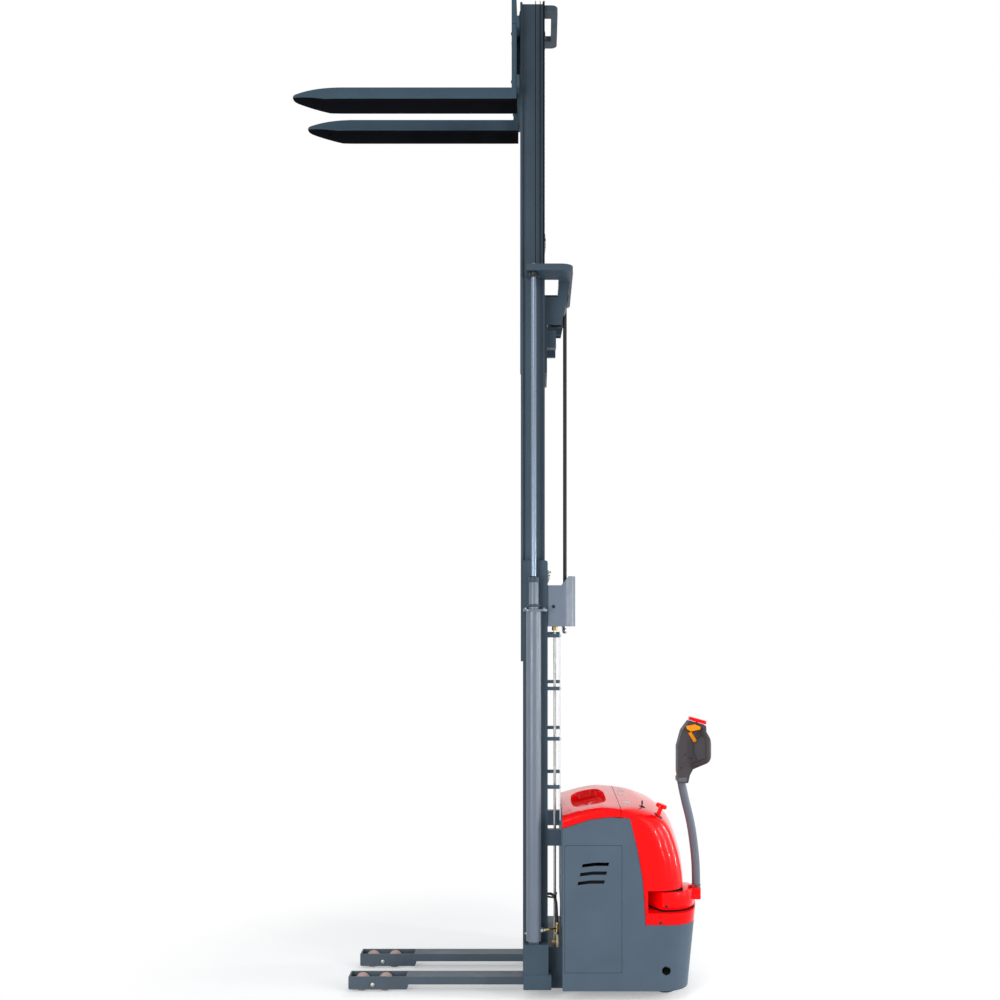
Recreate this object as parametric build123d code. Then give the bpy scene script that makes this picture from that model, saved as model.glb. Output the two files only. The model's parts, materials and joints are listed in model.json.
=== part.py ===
from build123d import *
import math
import os

# Pedestrian stacker with a three-stage mast, modelled with the mast raised.
# +X points to the tiller, +Y to the far side, +Z up. The floor is Z = 0.

# Forks and carriage
FORK_LENGTH = 1150.0
FORK_WIDTH = 180.0
FORK_DEPTH = 60.0
FORK_PLATE = 7.0
FORK_SPREAD = 570.0
FORK_LOWERED = 95.0
FORK_TIP_TAPER = 190.0
FORK_TIP_DEPTH = 26.0
FORK_TIP_RADIUS = 60.0
SHANK_DEPTH = 25.0
SHANK_HEIGHT = 330.0
CARRIAGE_PLATE = 15.0
CARRIAGE_BAR_HEIGHT = 60.0
CARRIAGE_SIDE = 18.0
BACKREST_TOP = 478.0
BACKREST_BAR = 40.0
BACKREST_UPRIGHT = 16.0
BACKREST_COUNT = 6

# Mast stages
STAGE_TRAVEL = 1470.0
FREE_TRAVEL = 1660.0
RAIL_FLANGE = 12.0
RAIL_WEB = 8.0
RAIL_WIDTH = 50.0
RAIL_GAP = 3.0
INNER_RAIL_FACE = 150.0
INNER_RAIL_DEPTH = 129.0
MIDDLE_RAIL_DEPTH = 125.0
OUTER_RAIL_DEPTH = 128.0
OUTER_RAIL_WIDTH = 45.0
OUTER_RAIL_WEB = 10.0
INNER_RAIL_LENGTH = 1945.0
MIDDLE_RAIL_LENGTH = 1998.0
OUTER_RAIL_TOP = 2246.0
OUTER_RAIL_BOTTOM = 60.0
INNER_LOW_BOTTOM = 295.0
MIDDLE_LOW_BOTTOM = 253.0
CARRIAGE_TO_MAST = 3.0
MIDDLE_SETBACK = 4.0
OUTER_SETBACK = 16.0
ROLLER_PLAY = 1.0
ROLLER_SIDE_PLAY = 2.0
ROLLER_STUB_R = 15.0
RUNNING_CLEARANCE = 0.05
CROSSHEAD_THICK = 33.0
CROSSHEAD_HALF_WIDTH = 378.0
CROSSHEAD_FRONT = 78.0
CROSSHEAD_REAR = 317.0
CROSSHEAD_BRIDGE = 245.0
CROSSHEAD_CORNER = 60.0
MIDDLE_TIE_HEIGHT = 28.0
TIE_PLATE = 12.0
INNER_TIE_HEIGHT = 255.0
TOP_TIE_DEPTH = 68.0
TOP_TIE_THICK = 30.0
TOP_TIE_DROP = 17.0

# Lift cylinders
CYLINDER_X = 115.0
CYLINDER_Y = 343.0
BARREL_R = 38.0
BARREL_WALL = 8.0
BARREL_BOTTOM = 298.0
BARREL_TOP = 1995.0
GLAND_R = 25.0
GLAND_TOP = 2158.0
LIFT_ROD_R = 14.0
PISTON_HEIGHT = 40.0
PISTON_CLEARANCE = 0.4
CLAMP_THICK = 12.0
FREE_BARREL_R = 32.0
FREE_BARREL_LENGTH = 910.0
FREE_ROD_R = 20.0
FREE_BORE_R = 25.0
FREE_HEAD_HEIGHT = 110.0
FREE_ANCHOR_DROP = 170.0

# Sheaves, chains and hose
LIFT_SHEAVE_X = 227.0
LIFT_SHEAVE_DROP = 136.0
LIFT_SHEAVE_PITCH_R = 52.0
FREE_SHEAVE_X = 112.0
FREE_SHEAVE_PITCH_R = 56.0
SHEAVE_WIDTH = 24.0
SHEAVE_FLANGE = 8.0
SHEAVE_AXLE_R = 12.0
LIFT_CHAIN_Y = 100.0
FREE_CHAIN_Y = 55.0
CHAIN_WIDTH = 14.0
CHAIN_THICK = 10.0
HOSE_Y = 130.0
HOSE_R = 10.0
HOSE_SHEAVE_WIDTH = 30.0
GROOVE_CLEARANCE = 0.4

# Legs and wheels
LEG_Y = 195.0
LEG_WIDTH = 100.0
LEG_TOP = 80.0
LEG_TUBE_BOTTOM = 40.0
LEG_BOX_PLATE = 8.0
LEG_BOX_BOTTOM = 14.0
LEG_BOX_FRONT = -851.0
LEG_BOX_REAR = -544.0
BOGIE_X = -725.0
ROLLER_SPACING = 122.0
ROLLER_R = 40.0
ROLLER_LENGTH = 60.0
BOGIE_PLATE = 6.0
BOGIE_PIN_R = 9.0
ROLLER_AXLE_R = 8.0
DRIVE_WHEEL_R = 100.0
DRIVE_WHEEL_WIDTH = 75.0
DRIVE_AXLE_R = 20.0
DRIVE_NECK_R = 80.0
CASTOR_R = 65.0
CASTOR_WIDTH = 50.0
CASTOR_X = 800.0
CASTOR_Y = 260.0
CASTOR_TRAIL = 40.0
CASTOR_STEM_R = 18.0

# Chassis and mast fittings
SHOE_TOP = 286.0
SHOE_STEP = 133.0
SHOE_BOTTOM = 57.0
BEAM_DEPTH = 109.0
BEAM_TOP = 250.0
FLOOR_PLATE = 12.0
FLOOR_BOTTOM = 66.0
DECK_TOP = 370.0
TIE_BOTTOM = 774.0
TIE_TOP = 856.0
SHIELD_X = 249.0
SHIELD_THICK = 4.0
SHIELD_BOTTOM = 900.0
SHIELD_TOP = 1876.0
SHIELD_HALF_WIDTH = 293.0
BRACKET_HEIGHTS = (1075.0, 1324.0, 1584.0, 1857.0)
BRACKET_SIZE = 18.0
PIPE_X = 224.0
PIPE_Y = -240.0
PIPE_R = 7.0

# Body
BODY_HALF_WIDTH = 400.0
BODY_FRONT = 256.0
BODY_BOTTOM = 56.0
COVER_WALL = 4.0
COVER_GAP = 2.0
SKIRT_REAR = 974.0
SKIRT_DRAFT = 39.0
SKIRT_CORNER_END = 949.0
SKIRT_CORNER_LENGTH = 137.0
SKIRT_CORNER_Y = 285.0
NOSE_CROWN = 25.0
NOSE_REAR = 886.0
NOSE_UPRIGHT = 540.0
NOSE_SUMMIT = 1000.0
NOSE_LEAN = 135.0
NOSE_ROLL = 290.0
HOOD_FRONT_TOP = 940.0
HOOD_CROWN = 988.0
HOOD_SHOULDER = 45.0
HOOD_CAMBER = 5.0
LID_SEAM = 558.0
LEDGE_REACH = 16.0
LEDGE_HALF_WIDTH = 320.0
RING_BOTTOM = 391.0
RING_TOP = 451.0
RING_PLATE = 4.0
NOTCH_FRONT = 696.0
NOTCH_SIDE = -95.0
NOTCH_TOP = 564.0
PANEL_FRONT = 272.0
PANEL_REAR = 563.0
PANEL_BOTTOM = 149.0
PANEL_TOP = 796.0
VENT_HEIGHT = 17.0
VENTS = ((359.0, 684.0), (348.0, 639.0), (337.0, 594.0))
VENT_LENGTH = 135.0
VENT_RISE = 8.0
SOCKET_X = 788.0
SOCKET_Z = 160.0
SOCKET_R = 22.5

# Steering and tiller
STEER_X = 800.0
STEER_Y = -220.0
HUB_R = 100.0
HUB_BOTTOM = 461.0
HUB_TOP = 555.0
HUB_ARM_WIDTH = 104.0
HUB_ARM_END = 982.0
HUB_ARM_BOTTOM = 490.0
ARM_R = 21.5
ARM_X = 963.0
TILLER_PIVOT_Z = 522.0
TILLER_PIN_R = 9.0
TILLER_EYE_HALF = 24.0
HEAD_HALF_WIDTH = 42.0
HEAD_REAR = 1024.0
LOOP_R = 15.0
LOOP_HALF_WIDTH = 118.0
THROTTLE_X = 941.0
THROTTLE_Z = 1380.0
THROTTLE_SHAFT_R = 6.0
THROTTLE_WING = 20.0
BUTTON_TRAVEL = 5.0
BUTTON_STEM_R = 6.0
ROCKER_X = 939.0
ROCKER_Z = 1331.0
ROCKER_LENGTH = 56.0
ROCKER_WIDTH = 18.0
ROCKER_DEPTH = 12.0
KNOB_X = 756.0
KNOB_Y = -300.0
KNOB_Z = 932.0
KNOB_TILT = 20.0
KNOB_STEM_R = 11.0
KNOB_HEAD_R = 29.0
KNOB_RISE = 62.0
KEY_X = 678.0
KEY_Y = -250.0
KEY_Z = 980.0
KEY_STEM_R = 6.0

# Worked-out stations
FACE_X = (FORK_LENGTH - HEAD_REAR) / 2
LIFT = 2 * STAGE_TRAVEL + FREE_TRAVEL
FORK_TOP = FORK_LOWERED + LIFT
FORK_Y = (FORK_SPREAD - FORK_WIDTH) / 2
INNER_FRONT = SHANK_DEPTH + CARRIAGE_PLATE + CARRIAGE_TO_MAST
MIDDLE_FRONT = INNER_FRONT + MIDDLE_SETBACK
OUTER_FRONT = INNER_FRONT + OUTER_SETBACK
INNER_REAR = INNER_FRONT + INNER_RAIL_DEPTH
MIDDLE_REAR = MIDDLE_FRONT + MIDDLE_RAIL_DEPTH
OUTER_REAR = OUTER_FRONT + OUTER_RAIL_DEPTH
MIDDLE_RAIL_FACE = INNER_RAIL_FACE + RAIL_WIDTH + RAIL_GAP
OUTER_RAIL_FACE = MIDDLE_RAIL_FACE + RAIL_WIDTH + RAIL_GAP
OUTER_RAIL_BACK = OUTER_RAIL_FACE + OUTER_RAIL_WIDTH
INNER_BOTTOM = INNER_LOW_BOTTOM + 2 * STAGE_TRAVEL
INNER_TOP = INNER_BOTTOM + INNER_RAIL_LENGTH
MIDDLE_BOTTOM = MIDDLE_LOW_BOTTOM + STAGE_TRAVEL
MIDDLE_TOP = MIDDLE_BOTTOM + MIDDLE_RAIL_LENGTH
LIFT_SHEAVE_Z = MIDDLE_TOP - LIFT_SHEAVE_DROP
FREE_BARREL_BOTTOM = INNER_BOTTOM + TIE_PLATE
FREE_BARREL_TOP = FREE_BARREL_BOTTOM + FREE_BARREL_LENGTH
FREE_HEAD_BOTTOM = FREE_BARREL_TOP + FREE_TRAVEL / 2 + 20
FREE_SHEAVE_Z = FREE_HEAD_BOTTOM + FREE_HEAD_HEIGHT - 40

FAR = 1300.0

nodes = {}


def at(x):
    """X of a point given by its distance behind the fork face."""
    return FACE_X + x


def block(x0, x1, y0, y1, z0, z1):
    """Box between two corners, with X measured from the fork face."""
    size = Box(x1 - x0, y1 - y0, z1 - z0)
    return Pos(at((x0 + x1) / 2), (y0 + y1) / 2, (z0 + z1) / 2) * size


def rod_z(x, y, radius, z0, z1):
    return Pos(at(x), y, (z0 + z1) / 2) * Cylinder(radius, z1 - z0)


def rod_y(x, z, radius, y0, y1):
    return Pos(at(x), (y0 + y1) / 2, z) * Rot(90, 0, 0) * Cylinder(radius, y1 - y0)


def prism_xz(points, y0, y1):
    """Closed outline of (x, z) points, extruded from y0 to y1."""
    outline = Polyline([(at(x), y0, z) for x, z in points], close=True)
    return extrude(make_face(outline), amount=y1 - y0, dir=(0, 1, 0))


def prism_xy(points, z0, z1):
    """Closed outline of (x, y) points, extruded from z0 to z1."""
    outline = Polyline([(at(x), y, z0) for x, y in points], close=True)
    return extrude(make_face(outline), amount=z1 - z0, dir=(0, 0, 1))


def mirrored(shape):
    return mirror(shape, about=Plane.XZ)


def keep(name, *shapes):
    """Stores the solids of one node."""
    solids = []
    for shape in shapes:
        solids.extend(shape.solids())
    nodes[name] = solids


def both(shape):
    return shape, mirrored(shape)


# Forks and carriage
def fork(side):
    """Inverted channel with a tapered, rounded tip and a welded upright shank."""
    y0 = side * FORK_Y - FORK_WIDTH / 2
    y1 = side * FORK_Y + FORK_WIDTH / 2
    bottom = FORK_TOP - FORK_DEPTH
    nose = FORK_TOP - FORK_TIP_DEPTH
    tip = -FORK_LENGTH
    blade = prism_xz(
        [(0, bottom), (0, FORK_TOP), (tip, FORK_TOP), (tip, nose), (tip + FORK_TIP_TAPER, bottom)], y0, y1
    )
    blade = fillet(blade.edges().filter_by(Axis.Z).group_by(Axis.X)[0], FORK_TIP_RADIUS)
    hollow = prism_xz(
        [
            (0, bottom),
            (0, FORK_TOP - FORK_PLATE),
            (tip + FORK_TIP_RADIUS + FORK_PLATE, FORK_TOP - FORK_PLATE),
            (tip + FORK_TIP_RADIUS + FORK_PLATE, bottom),
        ],
        y0 + FORK_PLATE,
        y1 - FORK_PLATE,
    )
    shank = block(0, SHANK_DEPTH, y0, y1, FORK_TOP - FORK_PLATE, FORK_TOP + SHANK_HEIGHT)
    heel = block(0, SHANK_DEPTH, y0, y0 + FORK_PLATE, bottom, FORK_TOP)
    heel += block(0, SHANK_DEPTH, y1 - FORK_PLATE, y1, bottom, FORK_TOP)
    shank = fillet(shank.edges().filter_by(Axis.X).group_by(Axis.Z)[-1], SHANK_DEPTH)
    return blade - hollow + shank + heel


CARRIAGE_ROLLER_LOW = FORK_TOP + 248.0
CARRIAGE_ROLLER_HIGH = FORK_TOP + 425.0
CARRIAGE_SIDE_Y = INNER_RAIL_FACE - ROLLER_SIDE_PLAY - CARRIAGE_SIDE
INNER_CHANNEL_X = (INNER_FRONT + INNER_REAR) / 2
INNER_ROLLER_R = INNER_RAIL_DEPTH / 2 - RAIL_FLANGE - ROLLER_PLAY
MIDDLE_CHANNEL_X = (MIDDLE_FRONT + MIDDLE_REAR) / 2
MIDDLE_ROLLER_R = MIDDLE_RAIL_DEPTH / 2 - RAIL_FLANGE - ROLLER_PLAY
OUTER_CHANNEL_X = (OUTER_FRONT + OUTER_REAR) / 2
OUTER_ROLLER_R = OUTER_RAIL_DEPTH / 2 - RAIL_FLANGE - ROLLER_PLAY
CHANNEL_DEPTH = (RAIL_WIDTH - RAIL_WEB) / 2
UPPER_BAR_TOP = FORK_TOP + SHANK_HEIGHT + 40.0
CHAIN_ANCHOR_Z = FORK_TOP + 80.0


def carriage_frame():
    """Two cross bars, upright side plates with roller stubs, and chain anchors."""
    front = SHANK_DEPTH
    back = SHANK_DEPTH + CARRIAGE_PLATE
    half = FORK_SPREAD / 2
    frame = block(front, back, -half, half, FORK_TOP + 5, FORK_TOP + 5 + CARRIAGE_BAR_HEIGHT)
    frame += block(front, back, -half, half, UPPER_BAR_TOP - CARRIAGE_BAR_HEIGHT, UPPER_BAR_TOP)
    plate_rear = INNER_CHANNEL_X + INNER_ROLLER_R - 12
    low = CARRIAGE_ROLLER_LOW - 30
    high = CARRIAGE_ROLLER_HIGH + 40
    side = prism_xz(
        [
            (front, FORK_TOP + 5),
            (back, FORK_TOP + 5),
            (back, low - 40),
            (INNER_CHANNEL_X, low),
            (plate_rear, low),
            (plate_rear, high),
            (back, high),
            (front, UPPER_BAR_TOP),
        ],
        CARRIAGE_SIDE_Y,
        CARRIAGE_SIDE_Y + CARRIAGE_SIDE,
    )
    stub_end = INNER_RAIL_FACE + CHANNEL_DEPTH - ROLLER_SIDE_PLAY
    for z in (CARRIAGE_ROLLER_LOW, CARRIAGE_ROLLER_HIGH):
        side += rod_y(INNER_CHANNEL_X, z, ROLLER_STUB_R, CARRIAGE_SIDE_Y, stub_end)
    frame += side + mirrored(side)
    anchor_x = FREE_SHEAVE_X - FREE_SHEAVE_PITCH_R
    anchor = block(
        back,
        anchor_x + CHAIN_THICK,
        FREE_CHAIN_Y - CHAIN_WIDTH,
        FREE_CHAIN_Y + CHAIN_WIDTH,
        FORK_TOP + 5,
        CHAIN_ANCHOR_Z,
    )
    return frame + anchor + mirrored(anchor)


def load_backrest():
    """Open guard frame that stands on the fork shanks."""
    bottom = UPPER_BAR_TOP - CARRIAGE_BAR_HEIGHT
    half = FORK_SPREAD / 2
    shank_top = FORK_TOP + SHANK_HEIGHT
    top = FORK_TOP + BACKREST_TOP
    frame = block(0, SHANK_DEPTH, -half, half, shank_top, top)
    inner = half - BACKREST_BAR
    window = block(-1, SHANK_DEPTH + 1, -inner, inner, bottom + BACKREST_BAR, top - BACKREST_BAR)
    frame -= window
    pitch = 2 * inner / (BACKREST_COUNT + 1)
    for i in range(BACKREST_COUNT):
        y = -inner + pitch * (i + 1)
        frame += block(
            0, SHANK_DEPTH, y - BACKREST_UPRIGHT / 2, y + BACKREST_UPRIGHT / 2, bottom + BACKREST_BAR, top - BACKREST_BAR
        )
    return fillet(frame.edges().filter_by(Axis.X).group_by(Axis.Z)[-1], SHANK_DEPTH)


def guide_roller(x, z, radius, y0, y1):
    """Idler ring on its stub."""
    return rod_y(x, z, radius, y0, y1) - rod_y(x, z, ROLLER_STUB_R + RUNNING_CLEARANCE, y0, y1)


# Mast rails
def i_rail(front, depth, face, bottom, length):
    """I-section rail, with a channel on its inner and on its outer side."""
    rail = block(front, front + depth, face, face + RAIL_WIDTH, bottom, bottom + length)
    x0 = front + RAIL_FLANGE
    x1 = front + depth - RAIL_FLANGE
    web0 = face + (RAIL_WIDTH - RAIL_WEB) / 2
    rail -= block(x0, x1, face, web0, bottom, bottom + length)
    rail -= block(x0, x1, web0 + RAIL_WEB, face + RAIL_WIDTH, bottom, bottom + length)
    return rail


MIDDLE_LOW_ROLLER = MIDDLE_BOTTOM + 62.0
MIDDLE_HIGH_ROLLER = MIDDLE_TOP - 70.0
INNER_LOW_ROLLER = INNER_BOTTOM + 62.0
OUTER_HIGH_ROLLER = OUTER_RAIL_TOP - 70.0
INNER_WEB = INNER_RAIL_FACE + CHANNEL_DEPTH
MIDDLE_WEB = MIDDLE_RAIL_FACE + CHANNEL_DEPTH
OUTER_WEB = OUTER_RAIL_BACK - OUTER_RAIL_WEB


def outer_rail():
    """C-section rail, open to the inside, with a roller stub at its top."""
    rail = block(OUTER_FRONT, OUTER_REAR, OUTER_RAIL_FACE, OUTER_RAIL_BACK, OUTER_RAIL_BOTTOM, OUTER_RAIL_TOP)
    rail -= block(
        OUTER_FRONT + RAIL_FLANGE,
        OUTER_REAR - RAIL_FLANGE,
        OUTER_RAIL_FACE,
        OUTER_WEB,
        OUTER_RAIL_BOTTOM,
        OUTER_RAIL_TOP,
    )
    shoulder = rail.edges().filter_by(Axis.Y).group_by(Axis.Z)[-1].sort_by(Axis.X)[-1]
    rail = fillet(shoulder, RAIL_FLANGE)
    stub_end = MIDDLE_WEB + RAIL_WEB + ROLLER_SIDE_PLAY
    return rail + rod_y(MIDDLE_CHANNEL_X, OUTER_HIGH_ROLLER, ROLLER_STUB_R, stub_end, OUTER_WEB)


def middle_frame():
    """Both middle rails with their roller stubs and the low tie bar."""
    rail = i_rail(MIDDLE_FRONT, MIDDLE_RAIL_DEPTH, MIDDLE_RAIL_FACE, MIDDLE_BOTTOM, MIDDLE_RAIL_LENGTH)
    low_end = OUTER_WEB - ROLLER_SIDE_PLAY
    rail += rod_y(OUTER_CHANNEL_X, MIDDLE_LOW_ROLLER, ROLLER_STUB_R, MIDDLE_WEB + RAIL_WEB, low_end)
    high_end = INNER_WEB + RAIL_WEB + ROLLER_SIDE_PLAY
    rail += rod_y(INNER_CHANNEL_X, MIDDLE_HIGH_ROLLER, ROLLER_STUB_R, high_end, MIDDLE_WEB)
    tie = block(
        MIDDLE_REAR - 40,
        MIDDLE_REAR,
        -MIDDLE_RAIL_FACE,
        MIDDLE_RAIL_FACE,
        MIDDLE_BOTTOM,
        MIDDLE_BOTTOM + MIDDLE_TIE_HEIGHT,
    )
    return rail + mirrored(rail) + tie


def inner_rail():
    rail = i_rail(INNER_FRONT, INNER_RAIL_DEPTH, INNER_RAIL_FACE, INNER_BOTTOM, INNER_RAIL_LENGTH)
    stub_end = MIDDLE_WEB - ROLLER_SIDE_PLAY
    return rail + rod_y(MIDDLE_CHANNEL_X, INNER_LOW_ROLLER, ROLLER_STUB_R, INNER_WEB + RAIL_WEB, stub_end)


# Mast ties
def mast_crosshead():
    """U-shaped head of the middle stage, with the sheave brackets under its bridge."""
    half = CROSSHEAD_HALF_WIDTH
    z0 = MIDDLE_TOP
    z1 = MIDDLE_TOP + CROSSHEAD_THICK
    head = block(CROSSHEAD_FRONT, CROSSHEAD_REAR, -half, half, z0, z1)
    gap = MIDDLE_RAIL_FACE
    head -= block(CROSSHEAD_FRONT, CROSSHEAD_BRIDGE, -gap, gap, z0, z1)
    head = fillet(head.edges().filter_by(Axis.Z).group_by(Axis.X)[-1], CROSSHEAD_CORNER)
    flange_r = LIFT_SHEAVE_PITCH_R + SHEAVE_FLANGE
    cheek_top = LIFT_SHEAVE_Z + flange_r
    cheek_bottom = LIFT_SHEAVE_Z - flange_r - 25
    cheek = [
        (CROSSHEAD_BRIDGE, z0),
        (CROSSHEAD_REAR - 12, z0),
        (CROSSHEAD_REAR - 55, cheek_bottom),
        (INNER_REAR + 1, cheek_bottom),
        (INNER_REAR + 1, cheek_top),
        (CROSSHEAD_BRIDGE, cheek_top),
    ]
    for y in CHEEK_Y:
        head += prism_xz(cheek, y, y + CHEEK_THICK)
        head += prism_xz(cheek, -y - CHEEK_THICK, -y)
    axle_end = CHEEK_Y[-1] + CHEEK_THICK
    for side in (-1, 1):
        y0 = min(side * CHEEK_Y[0], side * axle_end)
        y1 = max(side * CHEEK_Y[0], side * axle_end)
        head += rod_y(LIFT_SHEAVE_X, LIFT_SHEAVE_Z, SHEAVE_AXLE_R, y0, y1)
    return head


CHEEK_THICK = 8.0
CHEEK_Y = (LIFT_CHAIN_Y - SHEAVE_WIDTH / 2 - 2 - CHEEK_THICK, HOSE_Y + HOSE_SHEAVE_WIDTH / 2 + 2)


def sheave(x, z, y, pitch_r, width, groove_width, half_section):
    """Grooved sheave with a bored hub; its groove holds a chain or a hose."""
    outer = pitch_r + SHEAVE_FLANGE
    half = width / 2
    groove_half = groove_width / 2 + GROOVE_CLEARANCE
    floor = pitch_r - half_section - GROOVE_CLEARANCE
    wheel_part = rod_y(x, z, outer, y - half, y + half)
    groove = rod_y(x, z, outer, y - groove_half, y + groove_half)
    groove -= rod_y(x, z, floor, y - groove_half, y + groove_half)
    return wheel_part - groove - rod_y(x, z, SHEAVE_AXLE_R + RUNNING_CLEARANCE, y - half, y + half)


def run_over(section, y, x, z, pitch_r, rear_z, front_z):
    """Chain or hose that rises at the rear, wraps a sheave and falls at the front."""
    rear = at(x + pitch_r)
    front = at(x - pitch_r)
    with BuildLine() as path:
        Line((rear, y, rear_z), (rear, y, z))
        ThreePointArc((rear, y, z), (at(x), y, z + pitch_r), (front, y, z))
        Line((front, y, z), (front, y, front_z))
    return sweep(Pos(rear, y, rear_z) * section, path=path.line)


GUARD_BOTTOM = 1905.0
GUARD_SIDE_TOP = 2118.0
GUARD_REAR_TOP = 2165.0
GUARD_DEPTH = 144.0
GUARD_CORNER = 70.0
GUARD_WALL = 8.0
GUARD_FLOOR = OUTER_REAR + 70.0
ANCHOR_STUD_R = 9.0
ANCHOR_STUD_DROP = 34.0


def hose_guard():
    """Bent yoke on the outer rail tops: it ties them and shields chains and hose."""
    rear = OUTER_REAR + GUARD_DEPTH
    half = OUTER_RAIL_BACK
    outer = block(OUTER_REAR, rear, -half, half, GUARD_BOTTOM, GUARD_REAR_TOP)
    outer = fillet(outer.edges().filter_by(Axis.Z).group_by(Axis.X)[-1], GUARD_CORNER)
    inside = half - GUARD_WALL
    inner = block(OUTER_REAR, rear - GUARD_WALL, -inside, inside, GUARD_BOTTOM, GUARD_REAR_TOP)
    inner = fillet(inner.edges().filter_by(Axis.Z).group_by(Axis.X)[-1], GUARD_CORNER - GUARD_WALL)
    yoke = outer - inner
    rise = OUTER_REAR + GUARD_DEPTH / 2
    yoke -= prism_xz(
        [
            (OUTER_REAR, GUARD_SIDE_TOP),
            (rise, GUARD_SIDE_TOP),
            (rise + GUARD_CORNER / 2, GUARD_REAR_TOP),
            (OUTER_REAR, GUARD_REAR_TOP),
        ],
        -half,
        half,
    )
    floor = block(GUARD_FLOOR, rear - GUARD_WALL, -inside, inside, GUARD_BOTTOM, GUARD_BOTTOM + GUARD_WALL)
    floor += block(PIPE_X - 24, GUARD_FLOOR, -inside, PIPE_Y + 24, GUARD_BOTTOM, GUARD_BOTTOM + GUARD_WALL)
    yoke += floor & outer
    stud_x = LIFT_SHEAVE_X + LIFT_SHEAVE_PITCH_R
    for y in (-HOSE_Y, -LIFT_CHAIN_Y, LIFT_CHAIN_Y):
        yoke += rod_z(stud_x, y, ANCHOR_STUD_R, GUARD_BOTTOM - ANCHOR_STUD_DROP, GUARD_BOTTOM)
    return yoke


def inner_base():
    """Rear plate with a shelf for the free-lift cylinder and the chain anchors."""
    half = INNER_RAIL_FACE + RAIL_WIDTH
    rear = INNER_REAR + TIE_PLATE
    plate = block(INNER_REAR, rear, -half, half, INNER_BOTTOM, INNER_BOTTOM + INNER_TIE_HEIGHT)
    shelf = block(FREE_SHEAVE_X - 30, INNER_REAR, -60, 60, INNER_BOTTOM, INNER_BOTTOM + TIE_PLATE)
    lug_z = INNER_BOTTOM + INNER_TIE_HEIGHT
    lugs = None
    for y in (-HOSE_Y, -LIFT_CHAIN_Y, LIFT_CHAIN_Y):
        lug = block(rear, rear + 48, y - CHAIN_WIDTH, y + CHAIN_WIDTH, lug_z - 110, lug_z - 20)
        lugs = lug if lugs is None else lugs + lug
    return plate + shelf + lugs


def inner_top_tie():
    """Bowed tie behind the inner rail tops, clear of the free-lift chains."""
    half = INNER_RAIL_FACE + RAIL_WIDTH
    z1 = INNER_TOP - TOP_TIE_DROP
    tie = block(INNER_REAR, INNER_REAR + TOP_TIE_DEPTH, -half, half, z1 - TOP_TIE_THICK, z1)
    gap = half - RAIL_WIDTH - 30
    tie -= block(INNER_REAR, INNER_REAR + TOP_TIE_DEPTH / 2, -gap, gap, z1 - TOP_TIE_THICK, z1)
    return fillet(tie.edges().filter_by(Axis.Z).group_by(Axis.X)[-1], TOP_TIE_DEPTH / 2)


# Cylinders
def lift_barrel():
    """Barrel with its bore, gland neck and a clamp collar that holds it to the rail."""
    barrel = rod_z(CYLINDER_X, CYLINDER_Y, BARREL_R, BARREL_BOTTOM, BARREL_TOP)
    barrel += rod_z(CYLINDER_X, CYLINDER_Y, GLAND_R, BARREL_TOP, GLAND_TOP)
    collar = block(
        OUTER_FRONT + 2,
        OUTER_REAR - 2,
        OUTER_RAIL_BACK,
        CYLINDER_Y + BARREL_R,
        BARREL_TOP - CLAMP_THICK,
        BARREL_TOP,
    )
    bore_top = BARREL_TOP - 30
    bore_bottom = BARREL_TOP - 50 - PISTON_HEIGHT - STAGE_TRAVEL - 20
    barrel += fillet(collar.edges().filter_by(Axis.Z).group_by(Axis.Y)[-1], 30)
    barrel -= rod_z(CYLINDER_X, CYLINDER_Y, BARREL_R - BARREL_WALL, bore_bottom, bore_top)
    return barrel - rod_z(CYLINDER_X, CYLINDER_Y, LIFT_ROD_R + RUNNING_CLEARANCE, bore_top, GLAND_TOP)


def lift_rod():
    """Rod that seats against the crosshead, with its piston inside the barrel."""
    piston_top = BARREL_TOP - 50
    rod = rod_z(CYLINDER_X, CYLINDER_Y, LIFT_ROD_R, piston_top, MIDDLE_TOP)
    piston_r = BARREL_R - BARREL_WALL - PISTON_CLEARANCE
    return rod + rod_z(CYLINDER_X, CYLINDER_Y, piston_r, piston_top - PISTON_HEIGHT, piston_top)


def free_lift_barrel():
    barrel = rod_z(FREE_SHEAVE_X, 0, FREE_BARREL_R, FREE_BARREL_BOTTOM, FREE_BARREL_TOP)
    bore_top = FREE_BARREL_TOP - 25
    barrel -= rod_z(FREE_SHEAVE_X, 0, FREE_BORE_R, FREE_BARREL_BOTTOM + 20, bore_top)
    return barrel - rod_z(FREE_SHEAVE_X, 0, FREE_ROD_R + RUNNING_CLEARANCE, bore_top, FREE_BARREL_TOP)


def free_lift_rod():
    """Rod with the chain crosshead and its sheave axle on top."""
    rod = rod_z(FREE_SHEAVE_X, 0, FREE_ROD_R, FREE_BARREL_TOP - 35, FREE_HEAD_BOTTOM)
    rod += rod_z(FREE_SHEAVE_X, 0, FREE_BORE_R - PISTON_CLEARANCE, FREE_BARREL_TOP - 47, FREE_BARREL_TOP - 35)
    inner_half = FREE_CHAIN_Y - SHEAVE_WIDTH / 2 - 2
    head_top = FREE_HEAD_BOTTOM + FREE_HEAD_HEIGHT
    head = block(FREE_SHEAVE_X - 30, FREE_SHEAVE_X + 30, -inner_half, inner_half, FREE_HEAD_BOTTOM, head_top)
    head = fillet(head.edges().filter_by(Axis.Y).group_by(Axis.Z)[-1], 25)
    axle_half = FREE_CHAIN_Y + SHEAVE_WIDTH / 2 + 4
    return rod + head + rod_y(FREE_SHEAVE_X, FREE_SHEAVE_Z, SHEAVE_AXLE_R, -axle_half, axle_half)


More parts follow.
